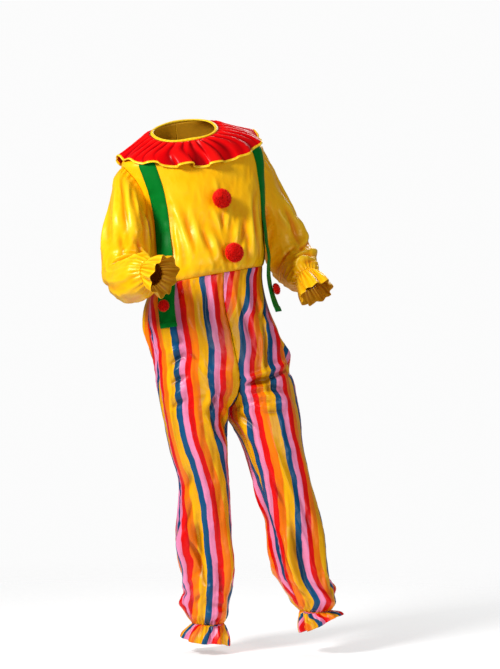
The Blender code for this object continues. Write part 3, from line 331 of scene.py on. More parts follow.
SLEEVE_CREASES = {
    "right": (
        (38, 0.22, 5, 0.12, 0.0083, -0.0056), (52, 0.2, -3, 0.11, 0.0092, 0.0063),
        (78, 0.26, 4, 0.11, 0.0083, 0.0063), (112, 0.28, -6, 0.1, 0.0092, 0.0063),
        (132, 0.34, -10, 0.09, 0.0092, -0.0063), (30, 0.52, 8, 0.08, 0.0083, -0.0063),
        (76, 0.53, 26, 0.07, 0.0083, -0.0069), (100, 0.58, 52, 0.06, 0.0083, 0.0075),
        (134, 0.62, 74, 0.045, 0.0074, 0.0075), (30, 0.72, 62, 0.055, 0.0083, -0.0063),
        (62, 0.745, 76, 0.05, 0.0064, -0.0063), (78, 0.785, 70, 0.052, 0.0064, 0.0063),
        (58, 0.82, 66, 0.048, 0.0055, -0.0056), (86, 0.86, 62, 0.044, 0.0055, 0.0056),
        (40, 0.86, 58, 0.05, 0.0074, 0.0056), (115, 0.76, 70, 0.04, 0.0064, 0.0056),
        (180, 0.55, 30, 0.08, 0.0101, 0.0075), (225, 0.3, 12, 0.11, 0.0101, 0.0069),
        (250, 0.5, 30, 0.09, 0.0101, -0.0069), (300, 0.4, 6, 0.11, 0.0101, 0.0069),
        (290, 0.7, 60, 0.06, 0.0092, -0.0069), (255, 0.8, 66, 0.055, 0.0092, 0.0069),
    ),
    "left": (
        (20, 0.24, 4, 0.11, 0.0083, -0.0056), (48, 0.26, 5, 0.12, 0.0092, 0.0069),
        (62, 0.34, -3, 0.12, 0.0083, -0.0063), (90, 0.3, 4, 0.11, 0.0092, 0.0063),
        (126, 0.34, -6, 0.1, 0.0092, 0.0063), (36, 0.56, 12, 0.09, 0.0092, 0.0069),
        (84, 0.6, 24, 0.08, 0.0092, 0.0069), (100, 0.68, 44, 0.07, 0.0083, -0.0075),
        (44, 0.8, 58, 0.055, 0.0074, -0.0069), (74, 0.83, 70, 0.05, 0.0074, 0.0069),
        (98, 0.88, 74, 0.046, 0.0055, 0.0063), (56, 0.9, 64, 0.046, 0.0055, -0.0056),
        (120, 0.78, 66, 0.046, 0.0074, 0.0063), (160, 0.7, 60, 0.06, 0.0092, -0.0069),
        (190, 0.4, 20, 0.1, 0.0101, 0.0069), (235, 0.34, -10, 0.11, 0.0101, 0.0069),
        (255, 0.62, -40, 0.08, 0.0101, -0.0069), (310, 0.36, 5, 0.11, 0.0101, 0.0069),
        (300, 0.74, 60, 0.06, 0.0092, 0.0069),
    ),
}
WRINKLE_COLUMNS = ("cells", "run", "height", "start", "end", "slant", "sharp", "seed")
# cells is the number of creases round the girth, run their length in metres and slant their lean in degrees
# of girth a metre; start and end are metres along the cloth.
TRUNK_WRINKLES = (
    (16, 0.23, 0.0036, 0.14, 0.46, 10, 0, 11), (30, 0.12, 0.0026, 0.15, 0.45, -12, 1, 12),
    (80, 0.03, 0.001, 0.06, 0.44, 60, 1, 13),
)
LEG_WRINKLES = (
    (9, 0.3, 0.005, 0.44, 1.42, 12, 0, 21), (20, 0.15, 0.0034, 0.45, 1.42, -15, 1, 22),
    (12, 0.032, 0.0022, 0.64, 0.9, 40, 1, 23), (12, 0.028, 0.004, 1.24, 1.44, -40, 1, 24),
    (40, 0.026, 0.0011, 0.44, 1.43, 60, 1, 25),
)
SLEEVE_WRINKLES = (
    (8, 0.18, 0.0044, 0.02, 0.44, 15, 0, 31), (18, 0.11, 0.0034, 0.02, 0.44, -18, 1, 32),
    (9, 0.026, 0.0034, 0.26, 0.46, 50, 1, 33), (34, 0.02, 0.0011, 0.01, 0.44, 60, 1, 34),
)


class Side(Enum):
    """The wearer's own side."""

    RIGHT = "right"
    LEFT = "left"

    @property
    def sign(self) -> float:
        """1 towards the wearer's left, -1 towards the right."""
        return 1.0 if self is Side.LEFT else -1.0

    @property
    def away(self) -> Array:
        """The level direction out of the wearer's side."""
        turn = math.radians(FACING)
        return self.sign * np.array([math.cos(turn), math.sin(turn), 0.0])


def ease(share: Array) -> Array:
    """Runs from 0 to 1 with level ends."""
    s = np.clip(share, 0.0, 1.0)
    return s * s * (3 - 2 * s)


def unit(vectors: Array) -> Array:
    """Vectors of length 1 along the ones given."""
    return vectors / np.maximum(np.linalg.norm(vectors, axis=-1, keepdims=True), 1e-12)


def smooth_through(stations: Array, values: Array) -> Run:
    """A function that runs smoothly through values at their stations.

    Args:
        stations: rising places along the run.
        values: the value at each.

    Returns:
        The function of place.
    """
    slopes = np.gradient(values, stations)

    def value(at: Array) -> Array:
        at = np.clip(at, stations[0], stations[-1])
        i = np.clip(np.searchsorted(stations, at) - 1, 0, len(stations) - 2)
        step = stations[i + 1] - stations[i]
        s = (at - stations[i]) / step
        start = (1 + 2 * s) * (1 - s) ** 2 * values[i] + s * (1 - s) ** 2 * step * slopes[i]
        end = s * s * (3 - 2 * s) * values[i + 1] - s * s * (1 - s) * step * slopes[i + 1]
        return start + end

    return value


def tracks(columns: Sequence[str], rows: Table) -> Track:
    """One smooth function for each column of a table, by the table's first column."""
    table = np.array(rows, float)
    return {name: smooth_through(table[:, 0], table[:, i]) for i, name in enumerate(columns) if i}


def at_place(track: Track, place: Array) -> dict[str, Array]:
    """What each function of a track gives at a place."""
    return {name: value(place) for name, value in track.items()}


def turned(angle: Array) -> Array:
    """Degrees brought to between -180 and 180."""
    return (angle + 180.0) % 360.0 - 180.0


def strap_middle(down: Array) -> Array:
    """Degrees from the centre front to the middle of a strap."""
    return smooth_through(*np.array(STRAP_ANGLES).T)(down)


def normals(surface: Surface, u: Array, v: Array, facing: float) -> Array:
    """Unit normals of a surface."""
    across = surface(u + 0.02, v) - surface(u - 0.02, v)
    along = surface(u, v + 0.0004) - surface(u, v - 0.0004)
    return facing * unit(np.cross(across, along))


def fold_height(folds: Table, around: Array, along: Array, radius: float, run: float = 1.0) -> Array:
    """How far the folds of a table push the cloth out.

    Args:
        folds: rows as FOLD_COLUMNS says.
        around: degrees of girth.
        along: place along the cloth, in the table's unit.
        radius: turns degrees into metres.
        run: turns along into metres.

    Returns:
        A height at each point, in metres.
    """
    height = np.zeros(np.broadcast(around, along).shape)
    for fold in folds:
        f = dict(zip(FOLD_COLUMNS, fold))
        x = np.radians(turned(around - f["around"])) * radius
        y = (along - f["along"]) * run
        lean = math.radians(f["lean"])
        across = x * math.cos(lean) - y * math.sin(lean)
        share = (x * math.sin(lean) + y * math.cos(lean)) / f["length"]
        ends = np.where(np.abs(share) < 1, np.cos(np.clip(share, -1, 1) * math.pi / 2) ** 2, 0.0)
        height = height + f["height"] * ends * np.exp(-((across / f["width"]) ** 2))
    return height


class Grain:
    """Smooth noise on a lattice that closes on itself, from a fixed seed."""

    def __init__(self, seed: int) -> None:
        self.table = np.random.default_rng(seed).uniform(-1.0, 1.0, (LATTICE, LATTICE))

    def at(self, x: Array, y: Array, period: int) -> Array:
        """The noise at x and y, repeating each period cells in x.

        Args:
            x: place round the girth, in cells.
            y: place along the cloth, in cells.
            period: cells in the whole girth, LATTICE at most.

        Returns:
            Values from -1 to 1.
        """
        ix, iy = np.floor(x).astype(int), np.floor(y).astype(int)
        fx, fy = ease(x - ix), ease(y - iy)
        left, right = ix % period, (ix + 1) % period
        low, high = iy % LATTICE, (iy + 1) % LATTICE
        near = self.table[left, low] * (1 - fx) + self.table[right, low] * fx
        far = self.table[left, high] * (1 - fx) + self.table[right, high] * fx
        return near * (1 - fy) + far * fy


def wrinkle_height(rows: Table, around: Array, metres: Array, offset: int = 0) -> Array:
    """The finer creases of a stretch of cloth.

    Args:
        rows: a table as WRINKLE_COLUMNS says.
        around: degrees of girth.
        metres: metres along the cloth.
        offset: added to each seed, so that two like pieces differ.

    Returns:
        A height at each point, in metres.
    """
    around, metres = np.broadcast_arrays(around, metres)
    height = np.zeros(around.shape)
    for row in rows:
        w = dict(zip(WRINKLE_COLUMNS, row))
        grain = Grain(int(w["seed"]) + offset)
        cells = int(w["cells"])
        bend = grain.at(around / 360.0 * 7 + 0.5, metres / 0.11 + 9.3, 7)
        x = around / 360.0 * cells + (w["slant"] * metres / 360.0) * cells + 0.55 * bend
        y = metres / w["run"] + 31.7 + 0.8 * bend
        n = grain.at(x, y, cells)
        shape = 0.45 - np.abs(n) ** 0.8 if w["sharp"] else n
        window = ease((metres - w["start"]) / 0.04) * ease((w["end"] - metres) / 0.04)
        height = height + w["height"] * shape * window
    return height


@dataclass(frozen=True)
class Elastic:
    """The tight gathers in the cloth next to an elastic."""

    gathers: int
    depth: float
    start: float
    fade: float

    def relief(self, around: Array, above: Array) -> Array:
        """Their height in metres at degrees of girth and at metres above the elastic."""
        waves = gathered(np.radians(around), self.gathers)
        return self.depth * (1 - ease((above - self.start) / self.fade)) * waves


def seam_dip(off_seams: Sequence[Array], down: Array, spread: float, pull: float, sway: float) -> Array:
    """The dip along seams, uneven where the stitches pull."""
    bunch = 1 + 0.5 * np.sin(down * pull + 2.0 * np.sin(down * sway))
    return -SEAM_DIP * bunch * sum(np.exp(-((off / spread) ** 2)) for off in off_seams)


def gathered(turn: Array, count: int, shift: Array = 0.0) -> Array:
    """Uneven waves from -1 to 1, count of them in a whole turn."""
    return np.cos(count * turn + 1.5 * np.sin(3 * turn) + shift)


@dataclass(frozen=True)
class Trunk:
    """The bodice and the top of the trousers: rings whose angles run from the centre front to the left."""

    track: Track

    def plain(self, angle: Array, down: Array) -> Array:
        """The trunk's form without folds.

        Args:
            angle: degrees of girth.
            down: metres below the neck.

        Returns:
            Points in the pose frame.
        """
        t = at_place(self.track, down)
        a = np.radians(angle)
        fullness = 1 + 0.045 * np.sin(2 * a) ** 2
        x = t["wide"] * np.sin(a) * fullness
        y = -np.where(np.cos(a) > 0, t["front"], t["rear"]) * np.cos(a) * fullness
        nod, lean, turn = (np.radians(t[name]) for name in ("nod", "lean", "turn"))
        y, z = y * np.cos(nod), y * np.sin(nod)
        x, y = x * np.cos(turn) - y * np.sin(turn), x * np.sin(turn) + y * np.cos(turn)
        x, z = x * np.cos(lean) - z * np.sin(lean), x * np.sin(lean) + z * np.cos(lean)
        return np.stack([t["right"] + x, t["back"] + y, t["rise"] + z - down], axis=-1)

    def outward(self, angle: Array, down: Array) -> Array:
        """Unit vectors out of the trunk."""
        return normals(self.plain, angle, down, -1.0)

    def solid(self, angle: Array, down: Array) -> Array:
        """The form with the large folds that the solids have."""
        height = fold_height(TRUNK_FOLDS, angle, down, TRUNK_GIRTH_RADIUS) * ease((WAIST - down) / 0.016)
        return self.plain(angle, down) + height[..., None] * self.outward(angle, down)

    def dimples(self, angle: Array, down: Array) -> Array:
        """The hollows in which the large pompoms are sewn.

        Args:
            angle: degrees of girth.
            down: metres below the neck.

        Returns:
            Heights in metres.
        """
        height = 0.0
        for at, low in POMPOMS.values():
            far = np.hypot(np.radians(angle - at) * POMPOM_GIRTH_RADIUS, down - low)
            height = height - POMPOM_DIP * np.exp(-((far / POMPOM_DIP_SPREAD) ** 2))
        return height

    def held(self, angle: Array, down: Array) -> Array:
        """1 where a strap holds the cloth flat and 0 away from it."""
        off_strap = np.abs(np.abs(angle) - strap_middle(down))
        return (1 - ease((off_strap - 11.0) / 5.0)) * (1 - ease((down - 0.33) / 0.05))

    def seams(self, angle: Array, down: Array) -> Array:
        """The dip along the side seams and the centre back."""
        off_seam = np.minimum(np.abs(np.abs(angle) - 90.0), 180.0 - np.abs(angle))
        return seam_dip([off_seam], down, 1.5, 190.0, 31.0)

    def relief(self, angle: Array, down: Array) -> Array:
        """The finer folds of the bodice.

        Args:
            angle: degrees of girth.
            down: metres below the neck.

        Returns:
            Heights in metres over the solid's form.
        """
        a = np.radians(angle)
        fine = fold_height(TRUNK_CREASES, angle, down, TRUNK_GIRTH_RADIUS)
        fine = fine + wrinkle_height(TRUNK_WRINKLES, angle + 180.0, down)
        near_waist = ease((down - WAIST + 0.040) / WAIST_REACH)
        pucker = WAIST_PUCKER * np.cos(WAIST_GATHERS * a + 2.0 * np.sin(5 * a)) * near_waist
        under = ease((down - 0.060) / 0.050)
        held = self.held(angle, down)
        height = fine * under * (1 - held) + self.dimples(angle, down) + self.seams(angle, down) * under
        return (height + pucker * (1 - 0.6 * held)) * ease((WAIST - down) / 0.010)

    def cloth(self, angle: Array, down: Array) -> Array:
        """The bodice's cloth with every fold."""
        return self.solid(angle, down) + self.relief(angle, down)[..., None] * self.outward(angle, down)


@dataclass(frozen=True)
class Leg:
    """One trouser leg: half the trunk, then its own rings. around runs from the inner seam over the front."""

    side: Side
    trunk: Trunk
    track: Track
    end: float
    elastic: Elastic = Elastic(gathers=26, depth=0.0016, start=0.006, fade=0.045)

    def angle(self, around: Array, turn: Array) -> Array:
        """Radians on the circle of a ring, for degrees from the inner seam and the ring's own turn."""
        return np.radians(turn - around if self.side is Side.RIGHT else 180.0 + turn + around)

    def ring(self, around: Array, down: Array) -> Array:
        """The leg's own section.

        Args:
            around: degrees of girth.
            down: metres below the neck.

        Returns:
            Points in the pose frame.
        """
        t = at_place(self.track, down)
        angle = self.angle(around, t["turn"])
        x = t["right"] + t["wide"] * np.cos(angle)
        y = t["back"] + t["deep"] * np.sin(angle)
        return np.stack([x, y, np.broadcast_to(-down, x.shape)], axis=-1)

    def plain(self, around: Array, down: Array) -> Array:
        """The leg's form without folds: the trunk's half that turns into the leg's own rings.

        Args:
            around: degrees of girth.
            down: metres below the neck.

        Returns:
            Points in the pose frame.
        """
        around, down = np.broadcast_arrays(around, down)
        down = np.minimum(down, self.end)
        half = self.trunk.plain(self.side.sign * around / 2, down)
        ring = self.ring(around, down)
        seam = self.ring(np.zeros_like(down), down)
        crotch = np.stack([*(np.full_like(down, place) for place in CROTCH_AT), -down], axis=-1)
        from_seam = np.abs(turned(around))
        near_seam = 1 - ease(from_seam / 75.0)
        pull = near_seam * (1 - ease((down - CROTCH) / 0.060))
        ring = ring + pull[..., None] * (crotch - seam)
        share = np.clip((down - FORK_TOP) / (CROTCH - FORK_TOP), 0.0, 1.0)
        at_fork = 1 - np.sqrt(1 - share**2)
        at_side = ease((down - THIGH_TOP) / (THIGH_END - THIGH_TOP))
        weight = at_side + (at_fork - at_side) * (1 - ease((from_seam - 20.0) / 70.0))
        aside = (SEAM_SHIFT * near_seam)[..., None] * self.side.away
        return half * (1 - weight[..., None]) + ring * weight[..., None] + aside

    def outward(self, around: Array, down: Array) -> Array:
        """Unit vectors out of the leg."""
        return normals(self.plain, around, down, -self.side.sign)

    def calmed(self, fine: Array, around: Array, down: Array) -> Array:
        """Fine creases made lower at the fork, by the inner seam, over the elastic and under the strap.

        Args:
            fine: their heights.
            around: degrees of girth.
            down: metres below the neck.

        Returns:
            The lower heights.
        """
        from_seam = np.abs(turned(around))
        at_fork = (1 - ease(from_seam / 26.0)) * ease((down - 0.60) / 0.05) * (1 - ease((down - 0.84) / 0.08))
        held = (1 - ease((np.abs(around - 114.0) - 24.0) / 10.0)) * (1 - ease((down - 0.56) / 0.03))
        by_seam = 0.35 + 0.65 * ease(from_seam / 14.0)
        return fine * (1 - at_fork) * by_seam * ease((self.end - down) / 0.03) * (1 - held)

    def seams(self, around: Array, down: Array) -> Array:
        """The dip along the inner and outer seams."""
        return seam_dip([np.abs(around - 180.0), np.abs(turned(around))], down, 2.6, 210.0, 37.0)

    def height(self, around: Array, down: Array) -> Array:
        """All folds of the leg, with the gathers over the elastic.

        Args:
            around: degrees of girth.
            down: metres below the neck.

        Returns:
            Heights in metres over the plain form.
        """
        a = np.radians(around)
        above = self.end - down
        large = fold_height(LEG_FOLDS[self.side.value], around, down, LEG_GIRTH_RADIUS)
        large = large * ease(np.abs(turned(around)) / 30.0)
        fine = fold_height(LEG_CREASES[self.side.value], around, down, LEG_GIRTH_RADIUS)
        fine = fine + wrinkle_height(LEG_WRINKLES, around, down, 100 if self.side is Side.LEFT else 0)
        fine = self.calmed(fine, around, down)
        gathers = 0.0025 * ease(above / 0.02) * (1 - ease((above - 0.02) / 0.05)) * np.cos(7 * a)
        near_waist = 1 - ease((down - WAIST - 0.004) / WAIST_REACH)
        pucker = WAIST_PUCKER * np.cos(WAIST_GATHERS * a / 2 + np.sin(5 * a)) * near_waist
        folds = large + fine + pucker + self.seams(around, down) * ease(above / 0.03)
        return folds * ease((down - WAIST) / 0.010) + gathers + self.elastic.relief(around, above)

    def cloth(self, around: Array, down: Array) -> Array:
        """The leg's cloth with every fold."""
        around, down = np.broadcast_arrays(around, down)
        height = self.height(around, down)
        return self.plain(around, down) + height[..., None] * self.outward(around, down)

    def mouth(self, around: Array) -> tuple[Array, ...]:
        """What its frill hangs from.

        Args:
            around: degrees of girth.

        Returns:
            The last points, the middle of the last ring, two directions across it, and radians round it.
        """
        t = at_place(self.track, self.end)
        middle = np.array([t["right"], t["back"], -self.end])
        last = self.cloth(around, np.full_like(around, self.end))
        right, back, _ = np.eye(3)
        return last, middle, right, back, self.angle(around, t["turn"])


@dataclass(frozen=True)
class Sleeve:
    """One sleeve: rings that fan round the elbow. around runs from its outer side over the front."""

    side: Side
    trunk: Trunk
    track: Track
    axes: list[list[Run]]
    elastic: Elastic = Elastic(gathers=22, depth=0.0014, start=0.004, fade=0.040)

    @staticmethod
    def armhole(trunk: Trunk, side: Side, around: Array, inset: float = 0.0) -> Array:
        """The armhole's edge.

        Args:
            trunk: the trunk that it is cut in.
            side: the wearer's side.
            around: degrees from the shoulder down the front and up the back.
            inset: metres that its edge is drawn in.

        Returns:
            Points in the pose frame.
        """
        a = np.radians(around)
        cut = np.where(np.sin(a) > 0, ARMHOLE_FRONT, ARMHOLE_BACK) - math.degrees(inset / ARMHOLE_RADIUS)
        down = ARMHOLE_MIDDLE - (ARMHOLE_HALF - inset) * np.cos(a)
        return trunk.solid(side.sign * (90.0 - cut * np.sin(a)), down)

    @classmethod
    def along_table(cls, trunk: Trunk, side: Side) -> "Sleeve":
        """The sleeve of a side, with its directions carried along it without twisting.

        Args:
            trunk: the trunk that it is sewn to.
            side: the wearer's side.

        Returns:
            The sleeve.
        """
        track = tracks(SLEEVE_COLUMNS, SLEEVES[side.value])
        stations = np.linspace(0.0, 1.0, 81)
        middle = np.stack([track[name](stations) for name in ("right", "back", "up")], axis=-1)
        along = np.gradient(middle, axis=0)
        nearness = np.exp(-(((stations[:, None] - stations[None, :]) / SLEEVE_FAN) ** 2))
        along = unit(nearness @ unit(along))
        shoulder, underarm = cls.armhole(trunk, side, np.array([0.0, 180.0]))
        outer = shoulder - underarm
        outers = []
        for direction in along:
            outer = unit(outer - np.dot(outer, direction) * direction)
            outers.append(outer)
        outers = np.array(outers)
        fores = -side.sign * np.cross(outers, along)
        axes = [[smooth_through(stations, line[:, i]) for i in range(3)] for line in (middle, outers, fores)]
        return cls(side, trunk, track, axes)

    def axes_at(self, along: Array) -> list[Array]:
        """The middle, outer and forward vectors at places along the sleeve."""
        return [np.stack([f(along) for f in axis], axis=-1) for axis in self.axes]

    def ring(self, angle: Array, along: Array) -> Array:
        """The sleeve's own section."""
        middle, outer, fore = self.axes_at(along)
        wide = (self.track["outer"](along) * np.cos(angle))[..., None]
        return middle + wide * outer + (self.track["fore"](along) * np.sin(angle))[..., None] * fore

    def plain(self, around: Array, along: Array) -> Array:
        """The sleeve's form without folds, from the armhole's edge to its own rings.

        Args:
            around: degrees of girth.
            along: the share of the sleeve.

        Returns:
            Points in the pose frame.
        """
        around, along = np.broadcast_arrays(around, np.clip(along, 0.0, 1.0))
        a = np.radians(around)
        edge = self.armhole(self.trunk, self.side, around, 0.0005)
        fade = (1 - ease(along / SLEEVE_HEAD))[..., None]
        rise = np.sin(np.clip(along / 0.10, 0.0, 1.0) * math.pi / 2)
        slack = UNDERARM * (1 - np.cos(a)) / 2 * rise * (1 - ease((along - 0.08) / 0.50))
        at_head = (edge - self.ring(a, np.zeros_like(along))) * fade
        return self.ring(a, along) + at_head + slack[..., None] * self.side.away

    def outward(self, around: Array, along: Array) -> Array:
        """Unit vectors across the cloth near the armhole, and away from the sleeve's middle beyond it.

        Args:
            around: degrees of girth.
            along: the share of the sleeve.

        Returns:
            A vector at each point.
        """
        around, along = np.broadcast_arrays(around, along)
        points = self.plain(around, along)
        middle = np.mean([self.plain(np.full_like(along, a), along) for a in range(0, 360, 30)], axis=0)
        share = ease((along - 0.15) / 0.25)[..., None]
        across = normals(self.plain, around, along, self.side.sign)
        return unit(across * (1 - share) + unit(points - middle) * share)

    def height(self, around: Array, along: Array) -> Array:
        """All folds of the sleeve, with the gathers at its head and over the elastic.

        Args:
            around: degrees of girth.
            along: the share of the sleeve.

        Returns:
            Heights in metres over the plain form.
        """
        a = np.radians(around)
        side = self.side.value
        seed = 200 if self.side is Side.LEFT else 50
        large = fold_height(SLEEVE_FOLDS[side], around, along, SLEEVE_GIRTH_RADIUS, SLEEVE_RUN)
        large = large * ease(along / 0.15) * ease((1 - along) / 0.04)
        fine = fold_height(SLEEVE_CREASES[side], around, along, SLEEVE_GIRTH_RADIUS, SLEEVE_RUN)
        fine = fine + wrinkle_height(SLEEVE_WRINKLES, around, along * SLEEVE_RUN, seed)
        fine = fine * ease(along / 0.10) * ease((1 - along) / 0.05)
        gathers = 0.002 * ease((1 - along) / 0.03) * ease((along - 0.82) / 0.1) * np.cos(5 * a)
        head = 0.0016 * np.cos(24 * a) * (1 - ease((along - 0.01) / 0.10)) * ease(along / 0.01)
        head = head * ease((np.cos(a) + 0.1) / 0.8)
        return large + fine + gathers + head + self.elastic.relief(around, (1 - along) * SLEEVE_RUN)

    def cloth(self, around: Array, along: Array) -> Array:
        """The sleeve's cloth with every fold."""
        around, along = np.broadcast_arrays(around, along)
        return self.plain(around, along) + self.height(around, along)[..., None] * self.outward(around, along)

    def mouth(self, around: Array) -> tuple[Array, ...]:
        """What its frill hangs from, as a leg's mouth() gives it."""
        return self.cloth(around, np.ones_like(around)), *self.axes_at(1.0), np.radians(around)


def to_part(points: Array) -> Array:
    """Points turned to the part's own axes.

    Args:
        points: places or directions in the pose frame.

    Returns:
        The same on the part's axes.
    """
    turn = math.radians(-FACING)
    x = points[..., 0] * math.cos(turn) - points[..., 1] * math.sin(turn)
    y = points[..., 0] * math.sin(turn) + points[..., 1] * math.cos(turn)
    return np.stack([x, y, points[..., 2]], axis=-1)


def grid(columns: Sequence[float], rows: Sequence[float]) -> tuple[Array, Array]:
    """The columns and rows of a panel as two arrays, a row of the panel in each row."""
    u, v = np.broadcast_arrays(np.array(columns, float)[None, :], np.array(rows, float)[:, None])
    return u.copy(), v.copy()


def arc(points: Array, axis: int) -> Array:
    """Metres along an axis of a grid of points, from its first point."""
    steps = np.linalg.norm(np.diff(points, axis=axis), axis=-1)
    return np.cumsum(np.insert(steps, 0, 0.0, axis=axis), axis=axis)


def cloth_metres(points: Array, grain: int) -> tuple[Array, Array]:
    """Places on the flat cloth of a grid of points."""
    across = arc(points, 1)
    across = across - across[:, grain : grain + 1]
    return across, np.broadcast_to(arc(points, 0).mean(axis=1, keepdims=True), across.shape)


def valleys(height: Array, reach: int = 6) -> Array:
    """How far each point stands over the mean round it, so that broad folds count less than narrow ones.

    Args:
        height: heights on a grid.
        reach: how many cells the mean takes in each way.

    Returns:
        Heights over the mean.
    """
    soft = height
    for axis in (0, 1):
        last = soft.shape[axis] - 1
        steps = [np.clip(np.arange(last + 1) + k, 0, last) for k in range(-reach, reach + 1)]
        soft = np.mean([np.take(soft, step, axis=axis) for step in steps], axis=0)
    return height - soft


def finished(bm: bmesh.types.BMesh, name: str) -> bpy.types.Mesh:
    """The mesh that a bmesh holds, which is freed.

    Args:
        bm: the bmesh.
        name: the mesh's name.

    Returns:
        The mesh.
    """
    mesh = bpy.data.meshes.new(name)
    bm.to_mesh(mesh)
    bm.free()
    return mesh


@dataclass
class Layout:
    """The grid of a piece, ready to be laid: places, heights of folds and places on the flat cloth."""

    points: Array
    fold: Array
    across: Array
    along: Array
    flip: bool = False
    closed: bool = False

    def mesh(self, name: str) -> bpy.types.Mesh:
        """The grid as a mesh, from a flat one that is moved into place.

        Args:
            name: the mesh's name.

        Returns:
            A mesh with a UV map of metres on the flat cloth and an attribute of fold heights.
        """
        rows, columns = self.fold.shape
        bm = bmesh.new()
        bmesh.ops.create_grid(bm, x_segments=columns - 1, y_segments=rows - 1, size=0.5)
        heights = bm.verts.layers.float.new("fold")
        uvs = bm.loops.layers.uv.new("Cloth")
        column = [round((v.co.x + 0.5) * (columns - 1)) for v in bm.verts]
        row = [round((v.co.y + 0.5) * (rows - 1)) for v in bm.verts]
        places = to_part(self.points)[row, column].tolist()
        # The fold attribute, each point's height over the mean round it, is the mask of the materials'
        # painted shade in folds and painted highlight on ridges.
        folds = valleys(self.fold)[row, column].tolist()
        flat = np.stack([self.across, self.along], axis=-1)[row, column].tolist()
        for vert, place, height in zip(bm.verts, places, folds):
            vert.co = place
            vert[heights] = height
        bm.verts.index_update()
        for face in bm.faces:
            face.smooth = True
            for loop in face.loops:
                loop[uvs].uv = flat[loop.vert.index]
        if self.flip:
            bmesh.ops.reverse_faces(bm, faces=bm.faces)
        if self.closed:
            edge = [v for v in bm.verts if v.is_boundary]
            bmesh.ops.remove_doubles(bm, verts=edge, dist=0.00002)
        return finished(bm, name)


def linked(name: str, data: bpy.types.ID) -> bpy.types.Object:
    """An object of the scene for some data."""
    made = bpy.data.objects.new(name, data)
    bpy.context.scene.collection.objects.link(made)
    return made


def placed(name: str, mesh: bpy.types.Mesh, finishes: Sequence[Material], slot: str,
           nodes: Sequence[str] = ()) -> bpy.types.Object:
    """An object for a finished mesh, riding on the garment.

    Args:
        name: the piece's name.
        mesh: its mesh, in place.
        finishes: its materials.
        slot: not used.
        nodes: the solids that it stands for.

    Returns:
        The object.
    """
    piece = linked(name, mesh)
    for finish in finishes:
        mesh.materials.append(finish)
    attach(piece, "root")
    if nodes:
        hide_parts(*nodes)
    LOG.info("%s: %d faces", name, len(mesh.polygons))
    return piece


def cloth_piece(solid: str, layout: Layout, faces: Pair, slot: str, thick: float = CLOTH) -> bpy.types.Object:
    """A piece of cloth, thickened inward with the reverse of the cloth inside.

    Args:
        solid: the solid that it stands for.
        layout: its grid.
        faces: the materials of its face and its reverse.
        slot: the record's material slot.
        thick: its thickness in metres.

    Returns:
        The object, named for the solid.
    """
    piece = placed(f"{solid}_cloth", layout.mesh(solid), faces, slot, (solid,))
    wall = piece.modifiers.new("Thickness", "SOLIDIFY")
    wall.thickness = thick
    wall.offset = -1.0
    wall.material_offset = 1
    wall.material_offset_rim = 0
    return piece


WHITE = (1.0, 1.0, 1.0, 1.0)


def linear(code: str) -> tuple[float, float, float, float]:
    """A colour written as six hexadecimal digits, for a shader."""
    parts = [int(code[i : i + 2], 16) / 255 for i in (0, 2, 4)]
    r, g, b = (p / 12.92 if p <= 0.04045 else ((p + 0.055) / 1.055) ** 2.4 for p in parts)
    return r, g, b, 1.0


